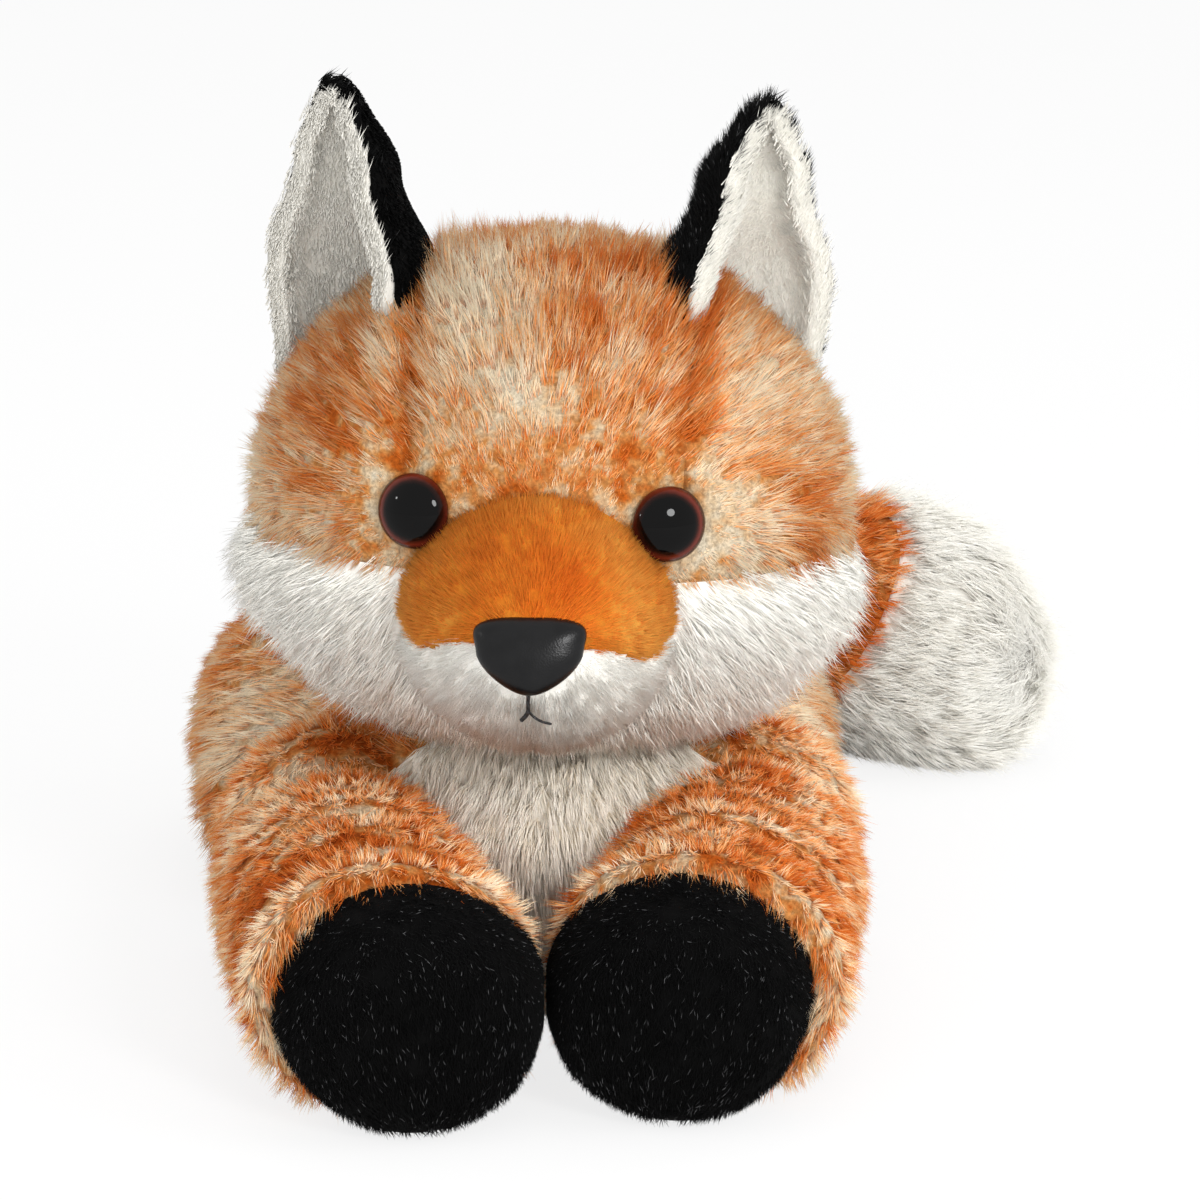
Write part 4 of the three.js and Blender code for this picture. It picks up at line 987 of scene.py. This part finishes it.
for sideName, sign in bothSides:
    makeEar(sideName, sign, "ear_back", "black", 0.15, earLook["cloth"], 0.97, 1.0)
    # the linings use the greyer copy of the white plush, painted shade
    makeEar(sideName, sign, "ear_lining", "lining", -earLook["cloth"], -0.15, 1.02, 0.95)
print("ears made")

torsoLook = {
    "bibPile": {"length": 13, "uneven": 0.25, "segments": 2, "lean": (1.0, 1.4), "spacing": 1.8, "gather": 0.65,
                "droop": 0.25, "swing": 0.1, "stray": 0.08},
    "backPile": {"length": 7.5},
    "bellyPile": {"length": 5, "width": 0.2, "lean": (1.0, 1.3), "tuft": 1.6, "perTuft": 5, "spacing": 2.6,
                  "gather": 0.5, "droop": 0.1, "swing": 0.5},
    "lumps": (45, 5), "lumpDepth": 0.9, "spine": 0.9, "spineWidth": 2.2, "bibSeam": 0.8, "bellySeam": 0.6,
    "seamWidth": 2.5, "pileFloor": 1.5,
}


def makeTorso():
    corners, faces = loftedMesh(lambda place, angle: lyingPoints(torso, place, angle), 96, 96)
    bibBack, bellyTop = torso["bibBack"], torso["bellyTop"]
    depth = stuffed(torsoLook, corners) * grade(corners[:, 2], 0, 12)
    depth -= torsoLook["spine"] * grade(corners[:, 2], 40, 60) * ridge(corners[:, 0], torsoLook["spineWidth"])
    depth -= torsoLook["bibSeam"] * ridge(corners[:, 1] - bibBack, torsoLook["seamWidth"])
    depth -= torsoLook["bellySeam"] * ridge(corners[:, 2] - bellyTop, torsoLook["seamWidth"])
    corners = onFloor(pushedOut(corners, faces, depth))
    seams = [((0, bibBack, 0), (0, 1, 0)), ((0, 0, bellyTop), (0, 0, 1)), ((0, 0, 0), (1, 0, 0))]

    def shown(points, margin):
        hidden = inHead(points, margin + overlap["head"]) | insideBall(tailRoot, tail["ball"], points, margin)
        for leg in legs.values():
            hidden |= insideBall(leg["pivot"], leg["ball"], points, margin)
        return ~hidden

    def bib(p):
        return p[:, 1] < bibBack

    def belly(p):
        return ~bib(p) & (p[:, 2] < bellyTop)

    def flow(spread, back, rise):  # the pile's way, which spreads from the middle
        return lambda p: np.stack([spread * p[:, 0], back + 0 * p[:, 0], rise + 0 * p[:, 0]], -1)

    backWay = flow(1 / 70, 1, -0.25)
    random = np.random.default_rng(51)
    for name, finish, key, region, way in (
            ("chest_bib", "cream", "bibPile", bib, flow(-0.25 / 30, -0.25, -1)),
            ("belly_panel", "cream", "bellyPile", belly, flow(1 / 60, 0.6, 0.1)),
            ("back_panel_left", "mottled", "backPile", lambda p: ~bib(p) & ~belly(p) & (p[:, 0] >= 0), backWay),
            ("back_panel_right", "mottled", "backPile", lambda p: ~bib(p) & ~belly(p) & (-p[:, 0] >= 0), backWay)):
        clothPanel(name + "_cloth", "torso", finish, corners, faces,
                   lambda centres: region(centres) & shown(centres, 4), seams, [name])
        look = torsoLook[key]
        roots, outward = scatter(corners, faces, look, random, lambda roots: region(roots) & shown(roots, 0.5)
                                 & (roots[:, 2] > torsoLook["pileFloor"]))
        growPile(name + "_pile", "torso", finish, roots, outward, way(roots), look, 53)
    print("torso made")


makeTorso()

legLook = {
    "sleevePile": {"length": 6.5, "uneven": 0.25, "width": 0.13, "lean": (0.85, 1.1), "tuft": 1.0, "spacing": 1.75,
                   "swing": 0.18},
    "pawPile": {"length": 3.2, "uneven": 0.12, "width": 0.13, "lean": (0.85, 1.05), "tuft": 1.7, "perTuft": 7,
                "spacing": 1.25, "gather": 0.05, "droop": 0, "swing": 0.1, "stray": 0.4, "leanSpread": 0.03},
    "folds": [(13, 2.2), (26, 1.5), (40, 1.1)], "foldWidth": 3.2,  # how far behind a front cuff, and how deep
    "lumps": 34, "lumpDepth": 0.8, "pawLumpDepth": 0.5, "cuffRise": 2.6, "cuffWidth": 5.5, "cuffBehind": 5.5,
    "cuffSeam": 1.0, "seamWidth": 2, "pawBulge": 2.2, "bulgeReach": 12, "midGap": 0.3, "foldWobble": 2.5,
    "foldLumps": 30, "bandWobble": 3, "bandLumps": 24, "rust": 0.03, "foldShade": 0.05, "bandTone": 0.05,
    "bandLength": 9, "cuffCrestHighlight": 0.04, "midLength": 0.3, "midReach": 5, "cuffLength": 0.3, "pileFloor": 1.5,
    "pawPileFloor": 1.2,
}


def jointBall(centre, radius):
    return loftedMesh(lambda place, angle: centre + radius * np.stack(
        [fullAt(place, 2) * np.cos(angle), fullAt(place, 2) * np.sin(angle), 2 * place - 1], -1), 28, 44)


def makeLeg(index, name, leg):
    sign, cuff, isFore = leg["sign"], leg["cuff"], name.startswith("front")
    pawName = name.replace("leg", "paw")

    def along(points):
        return (points - leg["pivot"]) @ leg["way"]

    def shown(points, margin):
        hidden = inTorso(points, margin + overlap["leg"]) | inTail(points, margin)
        for other in legs:
            if other != name and not (isFore and other.startswith("front")):
                hidden |= inLeg(other, points, margin)
        return ~hidden

    def inBall(points, margin):
        return insideBall(leg["pivot"], leg["ball"], points, margin)

    def pressed(points):  # the front legs press each other flat along the plane between them
        turn = math.radians(legHeading["foreSwing"])
        past = np.maximum(foreMidline(points, sign) + legLook["midGap"], 0) * isFore
        return points + sign * past[:, None] * np.array([math.cos(turn), math.sin(turn), 0])

    def creases(points):  # how deep the folds behind the cuff are
        behind = cuff - along(points) + legLook["foldWobble"] * lumps(points, legLook["foldLumps"], 90 + index)
        return sum(depth * ridge(behind - place, legLook["foldWidth"]) for place, depth in legLook["folds"]) * isFore

    def lengthAt(points):  # short where the front legs touch
        if not isFore:
            return np.ones(len(points))
        clear = grade(-foreMidline(points, sign), 0, legLook["midReach"])
        return legLook["midLength"] + (1 - legLook["midLength"]) * clear

    def toneAt(points):  # rust on the front sleeves, painted shade as darker rust in the folds, bands of colour that follow them, and a painted highlight as a paler band on the cuff's crest
        behind = cuff - along(points) + legLook["bandWobble"] * lumps(points, legLook["bandLumps"], 95 + index)
        bands = legLook["bandTone"] * np.sin(behind * 2 * math.pi / legLook["bandLength"]) * isFore
        # painted highlight: paler on the raised crest of the cuff
        crestHighlight = legLook["cuffCrestHighlight"] * ridge(cuff - along(points) - 4, 4)
        return legLook["rust"] * isFore + legLook["foldShade"] * creases(points) + bands - crestHighlight

    def shaped(kind, corners, faces):
        depth = legLook["pawLumpDepth" if kind == "paw" else "lumpDepth"] * lumps(corners, legLook["lumps"], 7 + index)
        depth = depth * grade(corners[:, 2], 0, 10)
        if kind == "sleeve":
            behind = cuff - along(corners)
            depth += legLook["cuffRise"] * ridge(behind - legLook["cuffBehind"], legLook["cuffWidth"])
            depth -= legLook["cuffSeam"] * ridge(behind, legLook["seamWidth"])
            depth -= creases(corners)
        if kind == "paw" and isFore:
            nearMid = np.clip(1 + foreMidline(corners, sign) / legLook["bulgeReach"], 0, 1)
            depth += legLook["pawBulge"] * nearMid
        return onFloor(pressed(pushedOut(corners, faces, depth))), faces

    sleeve = shaped("sleeve", *loftedMesh(lambda place, angle: lyingPoints(leg["sleeve"], place, angle), 96, 96))
    paw = shaped("paw", *loftedMesh(lambda place, angle: lyingPoints(leg["paw"], place, angle), 48, 72))
    ball = shaped("ball", *jointBall(leg["pivot"], leg["ball"]))
    seam = [(Vector(leg["pivot"] + leg["way"] * cuff), Vector(leg["way"]))]

    clothPanel(name + "_cloth", name, "mottled", *sleeve,
               lambda c: (along(c) < cuff) & shown(c, 4) & ~inBall(c, 1.5), seam, [name], toneAt)
    clothPanel(name + "_root_cloth", name, "mottled", *ball,
               lambda c: shown(c, 4) & ~insideLying(leg["sleeve"], c, 2), toneAt=toneAt)
    clothPanel(pawName + "_cloth", name, "black", *paw, lambda c: (along(c) >= cuff) & shown(c, 4), seam, [pawName])

    random = np.random.default_rng(61 + index)
    look = legLook["sleevePile"]
    parts = [scatter(*form, look, random,
                     lambda r: keep(r) & shown(r, 0.5) & (r[:, 2] > legLook["pileFloor"])) for form, keep in (
                         (sleeve, lambda r: (along(r) < cuff) & ~inBall(r, 0.3)),
                         (ball, lambda r: ~insideLying(leg["sleeve"], r, 0.3)))]
    roots, outward = [np.concatenate(values) for values in zip(*parts)]
    way = leg["way"] + np.array([sign * 0.15, 0, -0.35]) if isFore else np.array([sign * 0.35, 0.5, -0.7])
    way = np.repeat(way[None], len(roots), 0) + unit(roots - leg["pivot"]) * 0.3
    growPile(name + "_pile", name, "mottled", roots, outward, way, look, 67 + index,
             lambda p: (1 + legLook["cuffLength"] * ridge(along(p) - cuff, 5)) * lengthAt(p), toneAt)
    look = legLook["pawPile"]
    roots, outward = scatter(*paw, look, random,
                             lambda r: (along(r) >= cuff) & shown(r, 0.5) & (r[:, 2] > legLook["pawPileFloor"]))
    way = np.repeat((leg["way"] - up * 0.5)[None], len(roots), 0)
    growPile(pawName + "_pile", name, "black", roots, outward, way, look, 71 + index, lengthAt)


for index, (name, leg) in enumerate(legs.items()):
    makeLeg(index, name, leg)
print("legs made")

tailLook = {
    "pile": {"length": 8},
    "tipPile": {"length": 13, "uneven": 0.25, "segments": 2, "lean": (0.95, 1.35), "tuft": 1.4, "perTuft": 9,
                "spacing": 1.95, "gather": 0.35},
    "lumps": (36, 9), "lumpDepth": 0.9, "tipwardTone": 0.1, "toneReach": 45, "rootInset": 0.4, "pileFloor": 1.5,
}


def makeTail():
    corners, faces = loftedMesh(lambda place, angle: lyingPoints(tail, place, angle), 80, 72)
    depth = stuffed(tailLook, corners) * grade(corners[:, 2], 0, 10)
    corners = onFloor(pushedOut(corners, faces, depth))

    def pastSeam(points):
        return (points - tailSeam) @ tailSeamWay

    def shown(points, margin):
        hidden = inTorso(points, margin + overlap["tail"])
        for name in legs:
            hidden |= inLeg(name, points, margin)
        return ~hidden

    def orangeAt(points):  # plain orange towards the white tip
        return tailLook["tipwardTone"] * np.clip(1 + pastSeam(points) / tailLook["toneReach"], 0, 1)

    random = np.random.default_rng(81)
    for name, finish, key, tipward in (("tail", "mottled", "pile", False), ("tail_tip", "white", "tipPile", True)):
        toneAt = None if tipward else orangeAt
        look = tailLook[key]
        clothPanel(name + "_cloth", "tail", finish, corners, faces,
                   lambda c: ((pastSeam(c) > 0) == tipward) & shown(c, 4), [(Vector(tailSeam), Vector(tailSeamWay))],
                   [name], toneAt)
        parts = [scatter(corners, faces, look, random, lambda r: ((pastSeam(r) > 0) == tipward) & shown(r, 0.5)
                         & (r[:, 2] > tailLook["pileFloor"]))]
        if not tipward:
            ball, ballFaces = jointBall(tailRoot, tail["ball"] - tailLook["rootInset"])
            ball = onFloor(ball)
            clothPanel("tail_root_cloth", "tail", finish, ball, ballFaces,
                       lambda c: shown(c, 5) & ~insideLying(tail, c, 2), toneAt=toneAt)
            parts.append(scatter(ball, ballFaces, look, random, lambda r: shown(r, 0.2)
                                 & ~insideLying(tail, r, 0.3) & (r[:, 2] > tailLook["pileFloor"])))
        roots, outward = [np.concatenate(values) for values in zip(*parts)]
        way = tail["curve"]["tangents"][nearestOn(tail["curve"], roots)] + up * 0.1
        growPile(name + "_pile", "tail", finish, roots, outward, way, look, 83, toneAt=toneAt)
    print("tail made")


makeTail()

fillLook = {"inset": 3.8, "uneven": 0.8, "lumps": (14, 6), "fill": 0.85, "neckInner": 50.8, "neckOuter": 53.8,
            "neckSpread": 16, "neckRim": 1.2, "neckPitch": 67, "bagFill": 0.6, "bagUneven": 0.5, "bagLumps": (7, 12)}
pelletBag = {"centre": (0, 34, 12.9), "width": 44, "depth": 60, "height": 26, "widths": [(0, 1.1), (1, 1)],
             "depths": [(0, 1.1), (1, 1)]}


def makeFillings():  # the stuffing inside the panels
    inset, inner, outer = (fillLook[key] for key in ("inset", "neckInner", "neckOuter"))
    fibre = hardMaterial("loose_fibre", lambda tree, where: noise(tree, where, 300, 6, 0.75, 2),
                         [(0.35, (0.68, 0.68, 0.66)), (0.65, (0.88, 0.88, 0.87))], 1.0, (0.8, 0.001))[0]
    cotton = hardMaterial("bag_cotton", lambda tree, where: times(tree, wave(tree, where, 380, 0.6, "X"),
                                                                  wave(tree, where, 380, 0.6, "Y")),
                          [(0.1, colour("#B9B3A3")), (0.6, colour("#DAD5C7"))], 0.9, (0.6, 0.0004))[0]
    milky = hardMaterial("washer_plastic", lambda tree, where: noise(tree, where, 500, 3),
                         [(0.3, colour("#DADAD6")), (0.7, colour("#EDEDEA"))], [(0.3, 0.35), (0.7, 0.5)])[0]

    def fill(name, body, corners, faces, replaced, uneven=fillLook["uneven"]):
        corners = pushedOut(corners, faces, uneven * lumps(corners, *fillLook["lumps"]))
        addPiece(name, plainMesh(name, corners, faces), fibre, body, [replaced])

    # the neck's stuffing is a dish under the head
    spread = np.radians(np.linspace(2, fillLook["neckSpread"], 10))
    middle, rim = (inner + outer) / 2, math.radians(fillLook["neckSpread"] + fillLook["neckRim"])
    profile = [(0, -outer), *[(outer * math.sin(a), -outer * math.cos(a)) for a in spread],
               (middle * math.sin(rim), -middle * math.cos(rim)),
               *[(inner * math.sin(a), -inner * math.cos(a)) for a in spread[::-1]], (0, -inner)]
    corners, faces = turnedMesh(profile, 40)
    pitch = math.radians(fillLook["neckPitch"])
    spin = np.array(Vector((0, -math.cos(pitch), math.sin(pitch))).to_track_quat("Z", "Y").to_matrix())
    fill("neck_fibre", "neck", corners @ spin.T + neckPivot, faces, "neck_stuffing", 0)

    corners, faces = loftedMesh(lambda p, a: roundPoints(pelletBag, p, a), 32, 40)
    uneven = fillLook["bagUneven"] * lumps(corners, *fillLook["bagLumps"])
    corners = onFloor(pushedOut(corners, faces, uneven), inset)
    addPiece("pellet_bag_cotton", plainMesh("pellet_bag_cotton", corners, faces), cotton, "torso",
             ["pellet_bag"])
    for name in ("eye_washer_left", "eye_washer_right", "nose_washer"):
        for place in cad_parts[name].material_slots:
            place.material = milky

    for name, leg in legs.items():
        fill(name + "_fibre", name, *loftedMesh(lambda p, a: lyingPoints(leg["sleeve"], p, a, -inset), 24, 28),
             name.replace("leg", "leg_stuffing"))
    fill("tail_fibre", "tail", *loftedMesh(lambda p, a: lyingPoints(tail, p, a, -inset), 28, 24), "tail_stuffing")
    fill("torso_fibre", "torso", *loftedMesh(lambda p, a: lyingPoints(torso, p, a, -inset), 28, 32), "body_stuffing")
    corners, faces = loftedMesh(lambda p, a: roundPoints(head, p, a, -inset), 24, 32)
    fill("head_fibre", "head", fromHead(corners), faces, "head_stuffing")
    print("fillings made")


makeFillings()

# Lamps: power in watts, place in metres, width. Soft lamps leave no disc in the eyes.
studio = {"lamps": {"key": (12.4, (0.6, -1.3, 0.75), 0.42), "side": (5.5, (1.4, -0.5, 0.9), 1.0),
                    "kicker": (0.8, (-1.3, -0.35, 0.6), 0.1), "fill": (12.0, (-0.5, -1.4, 0.25), 1.8),
                    "top": (3.0, (0.3, 0.2, 1.4), 1.0)},
          "soft": ("side", "fill", "top"), "target": (0.0, 0.0, 0.07), "world": 0.85,
          "floor": 0.82, "floorHalf": 3, "floorGlow": 0.8}


def seenRays(tree):  # 1 for what the camera sees, by itself or through gloss or glass
    rays = tree.nodes.new("ShaderNodeLightPath")
    seen = combined(tree, rays.outputs["Is Camera Ray"], rays.outputs["Is Transmission Ray"], "MAXIMUM")
    return combined(tree, seen, rays.outputs["Is Glossy Ray"], "MAXIMUM")


def makeStudio():
    world = bpy.data.worlds.new("studio")
    bpy.context.scene.world = world
    world.use_nodes = True
    tree = world.node_tree
    light = tree.nodes["Background"]
    light.inputs["Color"].default_value = (1, 1, 1, 1)
    strength = combined(tree, studio["world"], times(tree, seenRays(tree), 1 - studio["world"]))
    tree.links.new(strength, light.inputs["Strength"])

    half = studio["floorHalf"]
    mesh = bpy.data.meshes.new("floor")
    mesh.from_pydata([(-half, -half, 0), (half, -half, 0), (half, half, 0), (-half, half, 0)], [], [(0, 1, 2, 3)])
    floor = bpy.data.objects.new("floor", mesh)
    bpy.context.scene.collection.objects.link(floor)
    material, tree, shader = newMaterial("floor_white", 0.9)
    shader.inputs["Base Color"].default_value = (studio["floor"],) * 3 + (1,)
    glow = node(tree, "ShaderNodeEmission", {"Color": (1, 1, 1, 1), "Strength": 1.0})
    share = times(tree, seenRays(tree), studio["floorGlow"])
    mix = node(tree, "ShaderNodeMixShader", {0: share, 1: shader.outputs[0], 2: glow.outputs[0]})
    tree.links.new(mix.outputs[0], tree.nodes["Material Output"].inputs["Surface"])
    mesh.materials.append(material)

    for name, (power, place, size) in studio["lamps"].items():
        lamp = bpy.data.lights.new(name, "AREA")
        lamp.energy, lamp.size, lamp.shape = power, size, "DISK"
        holder = bpy.data.objects.new(name, lamp)
        holder.location = place
        holder.visible_glossy = name not in studio["soft"]
        holder.rotation_euler = (Vector(studio["target"]) - Vector(place)).to_track_quat("-Z", "Y").to_euler()
        bpy.context.scene.collection.objects.link(holder)


view = {"azimuth": -5, "elevation": 15, "target": (9.55, -25, 79.65), "distance": 1000, "focal": 4936, "pixels": 1200,
        "sensor": 36, "clipEnd": 20}


def makeCamera():
    turn, rise = math.radians(view["azimuth"]), math.radians(view["elevation"])
    back = Vector((math.sin(turn) * math.cos(rise), -math.cos(turn) * math.cos(rise), math.sin(rise)))
    lens = bpy.data.cameras.new("photo")
    lens.sensor_fit, lens.sensor_width = "HORIZONTAL", view["sensor"]
    lens.lens = view["sensor"] * view["focal"] / view["pixels"]
    lens.clip_end = view["clipEnd"]
    camera = bpy.data.objects.new("photo", lens)
    camera.location = (Vector(view["target"]) + back * view["distance"]) * mm
    camera.rotation_euler = (-back).to_track_quat("-Z", "Y").to_euler()
    bpy.context.scene.collection.objects.link(camera)
    bpy.context.scene.camera = camera
    bpy.context.scene.view_settings.view_transform = "Standard"


makeStudio()
makeCamera()
print("studio made")
